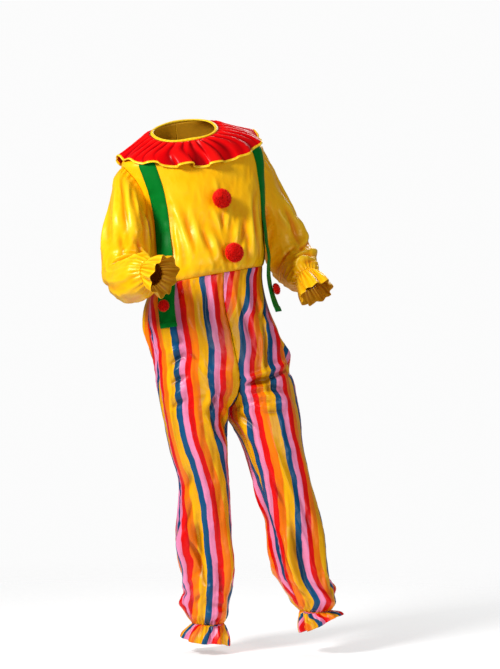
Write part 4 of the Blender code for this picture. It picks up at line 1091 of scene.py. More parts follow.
class Nodes:
    """Short calls for the nodes of one material."""

    def __init__(self, name: str) -> None:
        self.material = bpy.data.materials.new(name)
        self.material.use_nodes = True
        self.tree = self.material.node_tree
        self.shader = self.tree.nodes["Principled BSDF"]

    def add(self, kind: str, inputs: dict, **settings: object) -> bpy.types.Node:
        """A new node.

        Args:
            kind: the node's type.
            inputs: values or other nodes' outputs for its sockets.
            settings: its own properties.

        Returns:
            The node.
        """
        node = self.tree.nodes.new(kind)
        for key, value in settings.items():
            setattr(node, key, value)
        for key, value in inputs.items():
            self.feed(node.inputs[key], value)
        return node

    def feed(self, socket: Socket, value: object) -> None:
        """Links a socket to another node's output, or sets its value.

        Args:
            socket: the socket.
            value: an output, or the value.
        """
        if isinstance(value, Socket):
            self.tree.links.new(value, socket)
        else:
            socket.default_value = value

    def place(self) -> Socket:
        """Places on the object."""
        return self.add("ShaderNodeTexCoord", {}).outputs["Object"]

    def cloth(self, across: float = 1.0, along: float = 1.0) -> Socket:
        """Places on the flat cloth, in metres times the two scales."""
        uv = self.add("ShaderNodeUVMap", {}, uv_map="Cloth").outputs["UV"]
        return self.add("ShaderNodeMapping", {"Vector": uv, "Scale": (across, along, 1.0)}).outputs["Vector"]

    def noise(self, vector: Socket, scale: float, detail: float) -> Socket:
        """Soft noise from 0 to 1."""
        inputs = {"Vector": vector, "Scale": scale, "Detail": detail}
        return self.add("ShaderNodeTexNoise", inputs).outputs["Fac"]

    def swing(self, vector: Socket, scale: float, detail: float, size: float) -> Socket:
        """Soft noise about 0 that spans size."""
        noise = self.noise(vector, scale, detail)
        return self.sum("MULTIPLY", self.sum("SUBTRACT", noise, 0.5), size)

    def slub(self) -> Socket:
        """Fine streaks along the cloth, from 0 to 1."""
        return self.noise(self.cloth(900.0, 45.0), 1.0, 2.0)

    def roughness(self, vector: Socket, middle: float) -> Socket:
        """A roughness that wavers by 0.07 about its middle."""
        return self.sum("ADD", self.sum("MULTIPLY", self.noise(vector, 60.0, 2.0), 0.14), middle - 0.07)

    def woven(self, relief: Socket) -> Socket:
        """A relief with the weave over it."""
        return self.bump(self.noise(self.cloth(2600.0, 700.0), 1.0, 1.0), 0.00006, 0.5, relief)

    def depth(self, reach: float) -> Socket:
        """0 in folds that lie reach deep and 1 on ridges that stand as high: the mask of the painted shade
        and highlight.
        """
        fold = self.add("ShaderNodeAttribute", {}, attribute_name="fold").outputs["Fac"]
        return self.add("ShaderNodeMapRange", {0: fold, 1: -reach, 2: reach, 3: 0.0, 4: 1.0}).outputs[0]

    def ramp(self, share: Socket, stops: Sequence[tuple[float, tuple]]) -> Socket:
        """Colours at their places from 0 to 1.

        Args:
            share: the place of each point.
            stops: the places and colours, in order.

        Returns:
            The colour.
        """
        node = self.add("ShaderNodeValToRGB", {"Fac": share})
        marks = node.color_ramp.elements
        for mark, (at, colour) in zip((marks[0], marks[1]), (stops[0], stops[-1])):
            mark.position = at
            mark.color = colour
        for at, colour in stops[1:-1]:
            marks.new(at).color = colour
        return node.outputs["Color"]

    def blend(self, share: object, first: object, second: object, kind: str = "MIX") -> Socket:
        """A mix of two colours."""
        inputs = {0: share, 6: first, 7: second}
        return self.add("ShaderNodeMix", inputs, data_type="RGBA", blend_type=kind).outputs[2]

    def sum(self, kind: str, first: object, second: object) -> Socket:
        """A sum, product or other reckoning of two values."""
        return self.add("ShaderNodeMath", {0: first, 1: second}, operation=kind).outputs[0]

    def bump(self, height: object, distance: float, strength: float,
             under: object = None) -> Socket:
        """A relief.

        Args:
            height: its pattern.
            distance: its depth in metres.
            strength: its share of the full effect.
            under: another relief that it lies on.

        Returns:
            The normals.
        """
        inputs = {"Height": height, "Distance": distance, "Strength": strength}
        if under is not None:
            inputs["Normal"] = under
        return self.add("ShaderNodeBump", inputs).outputs["Normal"]

    def finish(self, colour: object, rough: object, normal: object, **values: float) -> Material:
        """Joins the last nodes to the shader.

        Args:
            colour: its colour.
            rough: its roughness.
            normal: its relief.
            values: constants for its other sockets.

        Returns:
            The material.
        """
        for key, value in (("Base Color", colour), ("Roughness", rough), ("Normal", normal)):
            self.feed(self.shader.inputs[key], value)
        for key, value in values.items():
            self.shader.inputs[key.replace("_", " ")].default_value = value
        return self.material


@dataclass(frozen=True)
class Satin:
    """Smooth shiny cloth of one colour, with painted shade in its folds and a painted highlight on its
    ridges.
    """

    name: str
    shade: str
    colour: str
    ridge_highlight: str
    rough: float = 0.34
    reach: float = 0.0042
    gloss: float = 0.5
    coat: float = 0.09

    def material(self) -> Material:
        """The cloth's material."""
        n = Nodes(self.name)
        place = n.place()
        # Painted shade and highlight: the fold attribute, with some random tone, runs the colour from the
        # shade colour in folds to the ridge highlight colour on ridges.
        depth = n.sum("ADD", n.depth(self.reach), n.swing(place, 11.0, 3.0, 0.35))
        stops = ((0.05, linear(self.shade)), (0.45, linear(self.colour)), (0.95, linear(self.ridge_highlight)))
        colour = n.blend(n.sum("MULTIPLY", n.slub(), 0.16), n.ramp(depth, stops), linear(self.shade))
        relief = n.woven(n.bump(n.noise(place, 75.0, 4.0), 0.0011, 0.55))
        tint = [0.35 + 0.65 * value for value in linear(self.ridge_highlight)]
        return n.finish(colour, n.roughness(place, self.rough), relief, Specular_IOR_Level=self.gloss,
                        Specular_Tint=tint, Anisotropic=0.3, Coat_Weight=self.coat, Coat_Roughness=0.24,
                        Coat_Tint=WHITE)


@dataclass(frozen=True)
class StripedSatin:
    """The trousers' cloth: stripes along the leg, with painted shade in its folds and in long streaks.

    bands are the stripes of one repeat, each a colour and its width in metres; start is where the first
    of them begins, in metres across from the grain.
    """

    name: str
    bands: tuple[tuple[str, float], ...]
    start: float = 0.0
    rough: float = 0.36
    reach: float = 0.0042

    @property
    def repeat(self) -> float:
        """The width of all bands."""
        return sum(width for _, width in self.bands)

    def material(self) -> Material:
        """The cloth's material."""
        n = Nodes(self.name)
        uv = n.add("ShaderNodeUVMap", {}, uv_map="Cloth").outputs["UV"]
        across = n.add("ShaderNodeSeparateXYZ", {0: uv}).outputs[0]
        place = n.place()
        across = n.sum("ADD", n.sum("SUBTRACT", across, self.start), n.swing(place, 16.0, 2.0, 0.012))
        share = n.sum("FRACT", n.sum("DIVIDE", across, self.repeat), 0.0)
        stops = []
        at = 0.0
        soft = 0.0006 / self.repeat
        for colour, width in self.bands:
            end = at + width / self.repeat
            stops += [(at + soft, linear(colour)), (end - soft, linear(colour))]
            at = end
        # Painted shade: the fold attribute, with some random tone, darkens the stripes in folds.
        depth = n.sum("ADD", n.depth(self.reach), n.swing(place, 13.0, 3.0, 0.15))
        dark, dim = (0.58, 0.50, 0.48, 1.0), (0.94, 0.92, 0.92, 1.0)
        shadow = n.ramp(depth, ((0.0, dark), (0.34, dim), (0.6, WHITE)))
        colour = n.blend(1.0, n.ramp(share, stops), shadow, "MULTIPLY")
        colour = n.blend(n.sum("MULTIPLY", n.slub(), 0.22), colour, (0.55, 0.50, 0.48, 1.0), "MULTIPLY")
        # Painted shade: long streaks along the cloth darken the stripes as the shade of narrow folds would.
        runs = n.noise(n.cloth(75.0, 5.0), 1.0, 2.0)
        streaks = n.ramp(runs, ((0.40, WHITE), (0.66, (0.78, 0.70, 0.66, 1.0))))
        colour = n.blend(1.0, colour, streaks, "MULTIPLY")
        relief = n.woven(n.bump(n.noise(place, 70.0, 4.0), 0.0012, 0.6))
        return n.finish(colour, n.roughness(place, self.rough), relief, Specular_IOR_Level=0.2,
                        Coat_Weight=0.10, Coat_Roughness=0.28)


@dataclass(frozen=True)
class Yarn:
    """Matt spun yarn, with painted shade: darker towards the roots and core of a pompom, lighter at its tips.
    """

    name: str
    root: str
    tip: str

    def material(self) -> Material:
        """The yarn's material."""
        n = Nodes(self.name)
        place = n.place()
        tips = n.sum("ADD", n.depth(1.0), n.swing(place, 240.0, 2.0, 0.6))
        colour = n.ramp(tips, ((0.35, linear(self.root)), (0.85, linear(self.tip))))
        relief = n.bump(n.noise(place, 900.0, 2.0), 0.0004, 0.6)
        return n.finish(colour, 0.9, relief, Sheen_Weight=0.06, Sheen_Roughness=0.5, Specular_IOR_Level=0.12)


@dataclass(frozen=True)
class Finishes:
    """Every material of the suit."""

    yellow: Pair
    striped: Pair
    red: Pair
    trim: Material
    green: Pair
    yarn: Material
    yellow_thread: Material
    green_thread: Material

    @classmethod
    def dyed_and_shaded(cls) -> "Finishes":
        """All the materials, made once.

        Returns:
            The finishes; a pair is the cloth's face and its reverse.
        """
        bands = (("005080", 0.018), ("F690BC", 0.017), ("EC0202", 0.017), ("FF7E00", 0.021),
                 ("F6B400", 0.027))
        # Each pair's reverse is a duller, darker copy of its face: the dullness is the reverse's own, the
        # darkness is painted shade on the cloth's inside.
        reverse_dull_and_shaded = tuple((mixed(colour, "B8A090", 0.35), width) for colour, width in bands)
        return cls(
            yellow=(Satin("yellow_satin_face", "F09000", "FFBC00", "FFCE20").material(),
                    Satin("yellow_satin_back", "B86A06", "E0A010", "F0B830", rough=0.65).material()),
            striped=(StripedSatin("striped_satin_face", bands).material(),
                     StripedSatin("striped_satin_back", reverse_dull_and_shaded, rough=0.65).material()),
            red=(Satin("red_satin_face", "8E0004", "DC0006", "FF1410", 0.36, 0.0030, 0.16, 0.07).material(),
                 Satin("red_satin_back", "700008", "B00C14", "C82020", rough=0.6).material()),
            trim=Satin("yellow_trim_satin", "F2A80A", "FFD21A", "FFE04A", reach=0.0016).material(),
            green=(Satin("green_strap_satin", "004410", "006E20", "008A32", 0.5, 0.003, 0.1, 0.02).material(),
                   Satin("green_strap_back", "003A0E", "005C22", "087038", rough=0.6).material()),
            yarn=Yarn("red_yarn", "D00800", "FF1A04").material(),
            yellow_thread=Yarn("yellow_thread", "E8A010", "FFCC30").material(),
            green_thread=Yarn("green_thread", "004A14", "0A7A34").material(),
        )


def mixed(first: str, second: str, share: float) -> str:
    """A colour between two, both written as hexadecimal digits."""
    pairs = [(int(first[i : i + 2], 16), int(second[i : i + 2], 16)) for i in (0, 2, 4)]
    return "".join(f"{round(a + (b - a) * share):02X}" for a, b in pairs)


def armhole_rows(cells: int) -> list[float]:
    """Rows of the bodice that crowd where the armhole's edge turns."""
    return [ARMHOLE_MIDDLE - ARMHOLE_HALF * math.cos(math.pi * k / cells) for k in range(cells + 1)]


def panel_edge(down: Array, cut: float) -> Array:
    """Degrees that an armhole takes off a panel at its side."""
    round_edge = np.sqrt(np.clip(1 - ((down - ARMHOLE_MIDDLE) / ARMHOLE_HALF) ** 2, 0, 1))
    return np.maximum(math.degrees(GAP / SIDE_RADIUS), cut * round_edge)


@dataclass(frozen=True)
class Bodice:
    """The yellow bodice: a front, and two backs with the opening between them."""

    trunk: Trunk
    front_columns: int = 169
    back_columns: int = 91
    front_flat: tuple[float, float] = (0.560, 0.470)
    back_flat: tuple[float, float] = (0.270, 0.470)

    def rows(self) -> list[float]:
        """Metres under the neck of each row."""
        above = list(np.linspace(0.0, ARMHOLE_TOP, 22)[:-1])
        below = list(np.linspace(ARMHOLE_END, WAIST - GAP, 62)[1:])
        return above + armhole_rows(44) + below

    def layout(self, angles: Array, grain: int) -> Layout:
        """The grid of a panel.

        Args:
            angles: degrees from the centre front, a row for each of rows().
            grain: the column that hangs straight.

        Returns:
            The grid.
        """
        down = np.array(self.rows())[:, None] * np.ones(angles.shape[1])
        points = self.trunk.cloth(angles, down)
        fold = np.sum((points - self.trunk.plain(angles, down)) * self.trunk.outward(angles, down), axis=-1)
        return Layout(points, fold, *cloth_metres(points, grain), flip=True)

    def panels(self) -> dict[str, Layout]:
        """The front, and the backs up to the opening between them.

        Returns:
            The grid of each panel by its name.
        """
        down = np.array(self.rows())[:, None]
        edge = 90.0 - panel_edge(down, ARMHOLE_FRONT)
        share = np.linspace(-1.0, 1.0, self.front_columns)[None, :]
        layouts = {"front": self.layout(edge * share, self.front_columns // 2)}
        edge = 90.0 + panel_edge(down, ARMHOLE_BACK)
        last = 180.0 - math.degrees(GAP / SIDE_RADIUS)
        share = np.linspace(0.0, 1.0, self.back_columns)[None, :]
        for side in Side:
            layout = self.layout(side.sign * (edge + (last - edge) * share), self.back_columns - 1)
            layout.flip = side is Side.LEFT
            layouts[f"back_{side.value}"] = layout
        return layouts

    def build(self, finishes: Finishes) -> None:
        """The three panels.

        Args:
            finishes: the materials.
        """
        for part, layout in self.panels().items():
            piece = cloth_piece(f"bodice_{part}", layout, finishes.yellow, "yellow_satin")


@dataclass(frozen=True)
class Trousers:
    """The striped trousers: a front and a back for each leg."""

    legs: dict[Side, Leg]
    columns: int = 91
    rows: int = 232
    flat: tuple[float, float] = (0.330, 1.120)

    def layout(self, leg: Leg, first: float, last: float, grain: float) -> Layout:
        """The grid of a panel.

        Args:
            leg: its leg.
            first: degrees from the inner seam where it starts.
            last: degrees where it ends.
            grain: degrees of the column that the stripes are counted from.

        Returns:
            The grid.
        """
        u, v = grid(np.linspace(first, last, self.columns), np.linspace(WAIST + GAP, leg.end, self.rows))
        fold = leg.height(u, v)
        column = round((grain - first) / (last - first) * (self.columns - 1))
        smooth = leg.plain(u, v) + 0.6 * fold[..., None] * leg.outward(u, v)
        across, along = cloth_metres(smooth, column)
        across = leg.side.sign * across - self.grain_start(leg.side, v, grain)
        return Layout(leg.cloth(u, v), fold, across, along, flip=leg.side is Side.LEFT)

    @staticmethod
    def grain_start(side: Side, down: Array, grain: float) -> Array:
        """How far from the grain the first stripe lies; the hip draws the fronts' cloth aside."""
        start = smooth_through(*np.array(STRIPE_DRIFT[side.value]).T)(down)
        return start if grain < 180.0 else 0.10 * start + 0.045

    def build(self, finishes: Finishes) -> None:
        """The four panels.

        Args:
            finishes: the materials.
        """
        for side, leg in self.legs.items():
            for part, first, last, grain in (("front", 0.15, 179.92, 90.0), ("back", 180.08, 359.85, 270.0)):
                layout = self.layout(leg, first, last, grain)
                if part == "back":
                    layout.across = -layout.across
                name = f"trousers_{part}_{side.value}"
                piece = cloth_piece(name, layout, finishes.striped, "striped_satin")
                self.flat


@dataclass(frozen=True)
class Sleeves:
    """The two wide sleeves, gathered at the shoulder and by the elastic over the wrist."""

    sleeves: dict[Side, Sleeve]
    columns: int = 157
    rows: int = 140
    flat: tuple[float, float] = (0.460, 0.470)

    def build(self, finishes: Finishes) -> None:
        """The two sleeves.

        Args:
            finishes: the materials.
        """
        u, v = grid(np.linspace(0.0, 360.0, self.columns), np.linspace(0.0, 1.0, self.rows))
        for side, sleeve in self.sleeves.items():
            points = sleeve.cloth(u, v)
            layout = Layout(points, sleeve.height(u, v), *cloth_metres(points, self.columns // 2),
                            flip=side is Side.RIGHT, closed=True)
            piece = cloth_piece(f"sleeve_{side.value}", layout, finishes.yellow, "yellow_satin")
            self.flat


class Cuff(Enum):
    """Where a frill hangs."""

    WRIST = "wrist"
    ANKLE = "ankle"


@dataclass(frozen=True)
class Frill:
    """One frill beyond an elastic, from the end of a tube to its own free edge.

    right, back and up are the middle of that edge; radius is its size, and its waves have their depth.
    """

    name: str
    cuff: Cuff
    form: Sleeve | Leg
    right: float
    back: float
    up: float
    radius: float
    waves: int
    depth: float
    columns: int = 273
    rows: int = 23

    @property
    def flat(self) -> tuple[float, float]:
        """The flat size, all round."""
        return (0.450, 0.046) if self.cuff is Cuff.WRIST else (0.560, 0.046)

    def cloth(self, around: Array, out: Array, waving: float = 1.0) -> Array:
        """The frill's form.

        Args:
            around: degrees round it, as on its tube.
            out: 0 at its elastic and 1 at its free edge.
            waving: 1 with its waves and 0 without them.

        Returns:
            Points in the pose frame.
        """
        around, out = np.broadcast_arrays(around, out)
        start, middle, outer, fore, a = self.form.mouth(around)
        end = np.array([self.right, self.back, self.up])
        along = unit(end - middle)
        outer = unit(outer - np.dot(outer, along) * along)
        fore = unit(fore - np.dot(fore, along) * along - np.dot(fore, outer) * outer)
        spread = np.cos(a)[..., None] * outer + np.sin(a)[..., None] * fore
        ruffle = self.depth * waving * np.sin(a * self.waves + 0.8 * np.sin(2 * a))
        rim = end + (self.radius + ruffle)[..., None] * spread
        length = np.linalg.norm(end - middle)
        begin = start + along * GAP
        widen = np.sin(np.clip(out, -0.2, 1.2) * math.pi / 2)[..., None]
        down = np.sum((rim - begin) * along, axis=-1, keepdims=True) * along
        across = (rim - begin) - down
        flutter = (0.25 * ruffle * np.sin(out * math.pi))[..., None] * spread
        droop = (0.06 * length * out**2 * np.sin(a * 3 + 1.0) * waving)[..., None] * along
        return begin + across * widen + down * out[..., None] + flutter + droop

    def relief(self, around: Array, out: Array) -> Array:
        """Gathers that open from the elastic, and the turned hem.

        Args:
            around: degrees round the frill.
            out: 0 at its elastic and 1 at its free edge.

        Returns:
            Heights in metres.
        """
        run = Grain(77 + len(self.name)).at(around / 360.0 * 24, out * 1.6 + 3.0, 24)
        gathers = 0.0019 * gathered(np.radians(around), 26, 0.8 * run)
        gathers = gathers * (1 - 0.75 * ease(out)) * ease(out / 0.1)
        return gathers + 0.0022 * run * ease(out) + 0.0005 * ease((out - 0.86) / 0.02)

    def build(self, finishes: Finishes) -> None:
        """The frill.

        Args:
            finishes: the materials.
        """
        u, v = grid(np.linspace(0.0, 360.0, self.columns), np.linspace(0.0, 1.0, self.rows))
        centres = self.cloth(u[:, :-1], v[:, :-1], 0.0).mean(axis=1, keepdims=True)
        height = self.relief(u, v)
        points = self.cloth(u, v) + height[..., None] * unit(self.cloth(u, v, 0.0) - centres)
        across, along = cloth_metres(points, self.columns // 2)
        side = self.form.side
        # The fold attribute, 1.8 times the relief, deepens the painted shade and highlight of the frill's
        # gathers.
        if self.cuff is Cuff.WRIST:
            layout = Layout(points, height * 1.8, across, along, flip=side is Side.RIGHT, closed=True)
            piece = cloth_piece(self.name, layout, finishes.yellow, "yellow_satin")
        else:
            across = across * side.sign
            layout = Layout(points, height * 1.8, across, along, flip=side is Side.LEFT, closed=True)
            piece = cloth_piece(self.name, layout, finishes.striped, "striped_satin")
        self.flat


@dataclass(frozen=True)
class Collar:
    """The red collar, gathered at the neck and opening into waves at its edge."""

    trunk: Trunk
    columns: int = 481
    rows: int = 34
    gathers: int = 34
    overhang: float = 0.55
    flat: tuple[float, float] = (1.220, 0.104)

    @staticmethod
    def edge(angle: Array) -> Array:
        """How far below the neck the collar ends."""
        c = np.cos(np.radians(angle))
        return COLLAR_EDGE_SIDE + (COLLAR_EDGE_FRONT - COLLAR_EDGE_SIDE) * c * c

    @staticmethod
    def phase(angle: Array) -> Seam:
        """Radians of the uneven waves at degrees of girth, and each one's share of the height."""
        a = np.radians(angle)
        return COLLAR_WAVES * a + 1.1 * np.sin(2 * a + 0.6), 0.55 + 0.45 * np.cos(3 * a + 0.4)

    def height(self, angle: Array, out: Array) -> Array:
        """How far the collar stands off the trunk's plain form.

        Args:
            angle: degrees of girth.
            out: 0 at the neck and 1 at its edge.

        Returns:
            Heights in metres.
        """
        a = np.radians(angle)
        phase, uneven = self.phase(angle)
        waves = (1 + np.sin(phase)) / 2
        rib = np.abs(np.sin(self.gathers / 2 * a + 0.9 * np.sin(3 * a) + 0.5 * np.sin(7 * a)))
        run = Grain(91).at(angle / 360.0 * 40, out * 2.0 + 5.0, 40)
        gathers = (0.0062 * rib + 0.0018 * run) * (1 - 0.62 * ease(out / 0.95)) * ease(out / 0.10)
        flare = (COLLAR_FLARE + 0.004) * (0.25 + 0.75 * uneven) * waves * out**1.7
        return COLLAR_LIFT + gathers + 0.0016 * run * ease(out) + flare

    def cloth(self, angle: Array, out: Array) -> Array:
        """The collar's cloth.

        Args:
            angle: degrees of girth.
            out: 0 at the neck and 1 at its edge.

        Returns:
            Points in the pose frame.
        """
        phase, uneven = self.phase(angle)
        overhang = -np.degrees(self.overhang / COLLAR_WAVES) * np.sin(2 * phase)
        at = angle + overhang * np.clip(out, 0, 2) ** 2 * uneven
        down = self.edge(angle) * out * (1 + 0.035 * out * np.sin(COLLAR_WAVES * np.radians(angle) + 0.9))
        down = down - 0.0060 * out * out * (np.sin(phase) - 0.2) * uneven
        lift = self.height(angle, out)
        return self.trunk.plain(at, down) + lift[..., None] * self.trunk.outward(at, down)

    def build(self, finishes: Finishes) -> None:
        """The collar.

        Args:
            finishes: the materials.
        """
        u, v = grid(np.linspace(-180.0, 180.0, self.columns), np.linspace(0.0, 1.0, self.rows))
        points = self.cloth(u, v)
        height = self.height(u, v) - COLLAR_LIFT - 0.0040
        layout = Layout(points, height, *cloth_metres(points, self.columns // 2), flip=True, closed=True)
        piece = cloth_piece("collar", layout, finishes.red, "red_satin")
        self.flat


@dataclass(frozen=True)
class Binding:
    """A strip folded over an edge: a flattened tube round a closed path."""

    name: str
    high: float
    thick: float
    gathers: int
    sides: int

    def build(self, path: Array, face: Array, away: Array, finish: Material) -> None:
        """The binding.

        Args:
            path: points of a closed loop, the last the same as the first.
            face: the direction its outer face looks in at each.
            away: the direction across it, away from the cloth that it holds.
            finish: its material.
        """
        turn = np.linspace(0.0, 2 * math.pi, self.sides + 1)[:, None]
        at = np.linspace(0.0, 2 * math.pi, len(path))[None, :]
        flat = np.sign(np.cos(turn)) * np.abs(np.cos(turn)) ** 0.7
        tall = np.sign(np.sin(turn)) * np.abs(np.sin(turn)) ** 0.8
        pinch = 1 + 0.045 * np.sin(self.gathers * at + 1.2 * np.sin(5 * at)) * np.abs(np.cos(turn))
        seam = -0.16 * np.exp(-(((tall + 0.55) / 0.18) ** 2))
        outwards = (flat * (pinch + seam) * self.thick / 2)[..., None] * face[None]
        points = path[None] + outwards + (tall * self.high / 2 * np.ones_like(at))[..., None] * away[None]
        # The fold attribute from the pinches and the seam sets painted shade in the binding's gathers and its
        # seam's groove.
        fold = np.broadcast_to((pinch - 1 + seam) * 0.012, points.shape[:2])
        layout = Layout(points, fold, *cloth_metres(points, 0), flip=True, closed=True)
        placed(f"{self.name}_cloth", layout.mesh(self.name), (finish,), "yellow_binding", (self.name,))


@dataclass(frozen=True)
class Brace:
    """A green strap over the shoulder's front, sewn down to the bodice and free at its end."""

    side: Side
    trunk: Trunk
    end: float
    leaves_cloth: float
    hang: float
    columns: int = 25
    rows: int = 150
    top: float = 0.075

    def half(self, down: Array) -> Array:
        """Half the strap's width in degrees of girth."""
        t, a = at_place(self.trunk.track, down), np.radians(strap_middle(down))
        return np.degrees(STRAP_WIDTH / 2 / np.hypot(t["wide"] * np.cos(a), t["front"] * np.sin(a)))

    def surface(self, share: Array, down: Array) -> Array:
        """The strap's outer face without relief.

        Args:
            share: -1 to 1 from edge to edge.
            down: metres below the neck.

        Returns:
            Points in the pose frame.
        """
        down = np.asarray(down, float)
        angle = self.side.sign * (strap_middle(down) + self.half(down) * share)
        free = ease((down - self.leaves_cloth) / (self.end - self.leaves_cloth))
        lift = STRAP_WALL + STRAP_CLEAR + 0.0030 * ease((down - 0.24) / 0.1) + self.hang * free
        held = self.trunk.solid(angle, down) * (1 - free)[..., None]
        cloth = held + self.trunk.plain(angle, down) * free[..., None]
        return cloth + lift[..., None] * self.trunk.outward(angle, down)

    def relief(self, share: Array, down: Array) -> Array:
        """Ribs, a soft crown, the stitched edges and some bends of the free end.

        Args:
            share: -1 to 1 from edge to edge.
            down: metres below the neck.

        Returns:
            Heights in metres.
        """
        crown = 0.0012 * (1 - share**2)
        groove = -0.0005 * np.exp(-(((np.abs(share) - 0.86) / 0.05) ** 2))
        bends = 0.0016 * np.sin(down * 46.0 + self.side.sign) * ease((down - 0.25) / 0.1)
        creases = 0.0007 * Grain(55).at(share * 1.5 + 8.0, down * 60.0, 40) * ease((down - 0.12) / 0.1)
        hem = 0.0007 * ease((down - self.end + 0.016) / 0.002)
        return crown + groove + bends + creases + hem

    def face(self, share: Array, down: Array) -> Seam:
        """Points on the finished face, and the directions out of it."""
        out = normals(self.surface, share, down, -self.side.sign)
        return self.surface(share, down) + self.relief(share, down)[..., None] * out, out

    def build(self, finishes: Finishes) -> None:
        """The strap.

        Args:
            finishes: the materials.
        """
        u, v = grid(np.linspace(-1.0, 1.0, self.columns), np.linspace(self.top, self.end, self.rows))
        points, _ = self.face(u, v)
        fold = self.relief(u, v) - 0.0008
        layout = Layout(points, fold, *cloth_metres(points, self.columns // 2), flip=self.side is Side.LEFT)
        piece = cloth_piece(f"brace_{self.side.value}", layout, finishes.green, "green_strap", STRAP_CLOTH)


def cone(bm: bmesh.types.BMesh, along: Vector, middle: Vector, sides: int, ends: tuple[float, float],
         length: float) -> None:
    """Adds one tapered strand of thread.

    Args:
        bm: what it is added to.
        along: the direction that it runs in.
        middle: the place of its middle.
        sides: how many it has.
        ends: its radius at its two ends.
        length: its length.
    """
    place = along.to_track_quat("Z", "Y").to_matrix().to_4x4()
    place.translation = middle
    bmesh.ops.create_cone(bm, cap_ends=True, segments=sides, radius1=ends[0], radius2=ends[1], depth=length,
                          matrix=place)


@dataclass(frozen=True)
class Pompom:
    """A round tuft of yarn: a soft core with strands that stand out of it all round."""

    name: str
    radius: float
    depth: float
    strands: int
    seed: int
    rooted: float = 0.72

    def core(self, middle: Array, frame: Array) -> bmesh.types.BMesh:
        """The lumpy ball under the strands.

        Args:
            middle: its middle, on the part's axes.
            frame: the directions across, up and out.

        Returns:
            A bmesh with the ball.
        """
        bm = bmesh.new()
        bmesh.ops.create_uvsphere(bm, u_segments=40, v_segments=24, radius=1.0)
        shade = bm.verts.layers.float.new("fold")
        grain = Grain(self.seed)
        for vert in bm.verts:
            n = np.array(vert.co)
            lump = grain.at(np.array(n[0] * 4 + 9), np.array(n[1] * 4 + n[2] * 5 + 9), 60)
            vert.co = middle + (n * self.size * (0.80 + 0.05 * float(lump))) @ frame
            # Painted shade: the core takes the darkest yarn colour, as it lies deep in the tuft.
            vert[shade] = -0.9
        return bm

    @property
    def size(self) -> Array:
        """Its half widths across, up and out."""
        return np.array([self.radius, self.radius, self.depth])

    def tuft(self, middle: Array, frame: Array) -> bpy.types.Mesh:
        """The strands, each a tapered cone that leans its own way.

        Args:
            middle: the pompom's middle, on the part's axes.
            frame: the directions across, up and out.

        Returns:
            The strands' mesh, lighter at their tips.
        """
        pick = np.random.default_rng(self.seed)
        bm = bmesh.new()
        golden = math.pi * (3 - math.sqrt(5))
        for k in range(self.strands):
            height = 1 - 2 * (k + 0.5) / self.strands
            if height < -self.rooted:
                continue
            ring = math.sqrt(1 - height * height)
            way = np.array([math.cos(golden * k) * ring, math.sin(golden * k) * ring, height])
            way = unit(way + pick.normal(0.0, 0.10, 3))
            lean = unit(way + pick.normal(0.0, 0.22, 3))
            reach = pick.uniform(0.90, 1.05)
            root = middle + (way * self.size * self.rooted) @ frame
            tip = middle + ((way * self.rooted + lean * (reach - self.rooted)) * self.size) @ frame
            thick = self.radius * 0.026
            end = thick * (0.45 + 0.2 * float(pick.uniform(0.0, 1.0)))
            cone(bm, Vector(tip - root).normalized(), Vector((root + tip) / 2), 3, (thick, end),
                 float(np.linalg.norm(tip - root)))
        # Painted shade: each strand is darker at its root deep in the tuft and lighter at its tip.
        tint = bm.verts.layers.float.new("fold")
        for vert in bm.verts:
            far = np.linalg.norm((frame @ (np.array(vert.co) - middle)) / self.size)
            vert[tint] = float(np.clip((far - 0.86) * 7, -1, 1))
        return finished(bm, self.name)

    def build(self, foot: Array, out: Array, finish: Material) -> None:
        """The pompom.

        Args:
            foot: where it is sewn on, on the part's axes.
            out: the direction out of the cloth there.
            finish: the yarn.
        """
        up = unit(np.array([0.0, 0.0, 1.0]) - out[2] * out)
        frame = np.stack([np.cross(up, out), up, out], axis=0)
        middle = foot + (self.depth + GAP) * out
        bm = self.core(middle, frame)
        strands = self.tuft(middle, frame)
        bm.from_mesh(strands)
        bpy.data.meshes.remove(strands)
        for face in bm.faces:
            face.smooth = True
        placed(f"{self.name}_yarn", finished(bm, self.name), (finish,), "red_pompom", (self.name,))


@dataclass(frozen=True)
class Stitching:
    """Rows of sewn stitches, each a short straight tapered thread partly sunk in the cloth."""

    length: float = 0.0042
    pitch: float = 0.0072
    thick: float = 0.00036

    def row(self, points: Array, out: Array) -> list[tuple[Array, Array, Array]]:
        """The stitches of a row.

        Args:
            points: the row's path on the cloth, on the part's axes.
            out: the direction out of the cloth at each point.

        Returns:
            The middle, direction and outward vector of each.
        """
        walk = arc(points[None], 1)[0]
        at = np.arange(self.pitch / 2, walk[-1], self.pitch)

        def between(places: Array, values: Array) -> Array:
            """Values of the path at places along it."""
            return np.stack([np.interp(places, walk, values[:, i]) for i in range(3)], axis=-1)

        middle = between(at, points)
        ahead = between(at + 0.0008, points)
        return list(zip(middle, unit(ahead - middle + 1e-9), unit(between(at, out))))

    def build(self, name: str, rows: Sequence[Seam], finish: Material, slot: str) -> None:
        """All rows of one thread as a piece.

        Args:
            name: the piece's name.
            rows: each row's path and the directions out of it, in the pose frame.
            finish: the thread.
            slot: the record's material slot.
        """
        bm = bmesh.new()
        for points, out in rows:
            for middle, along, outs in self.row(to_part(points), to_part(out)):
                sunk = Vector(middle + outs * self.thick * 0.35)
                cone(bm, Vector(along), sunk, 4, (self.thick * 0.8, self.thick), self.length)
        for face in bm.faces:
            face.smooth = True
        placed(name, finished(bm, name), (finish,), slot)


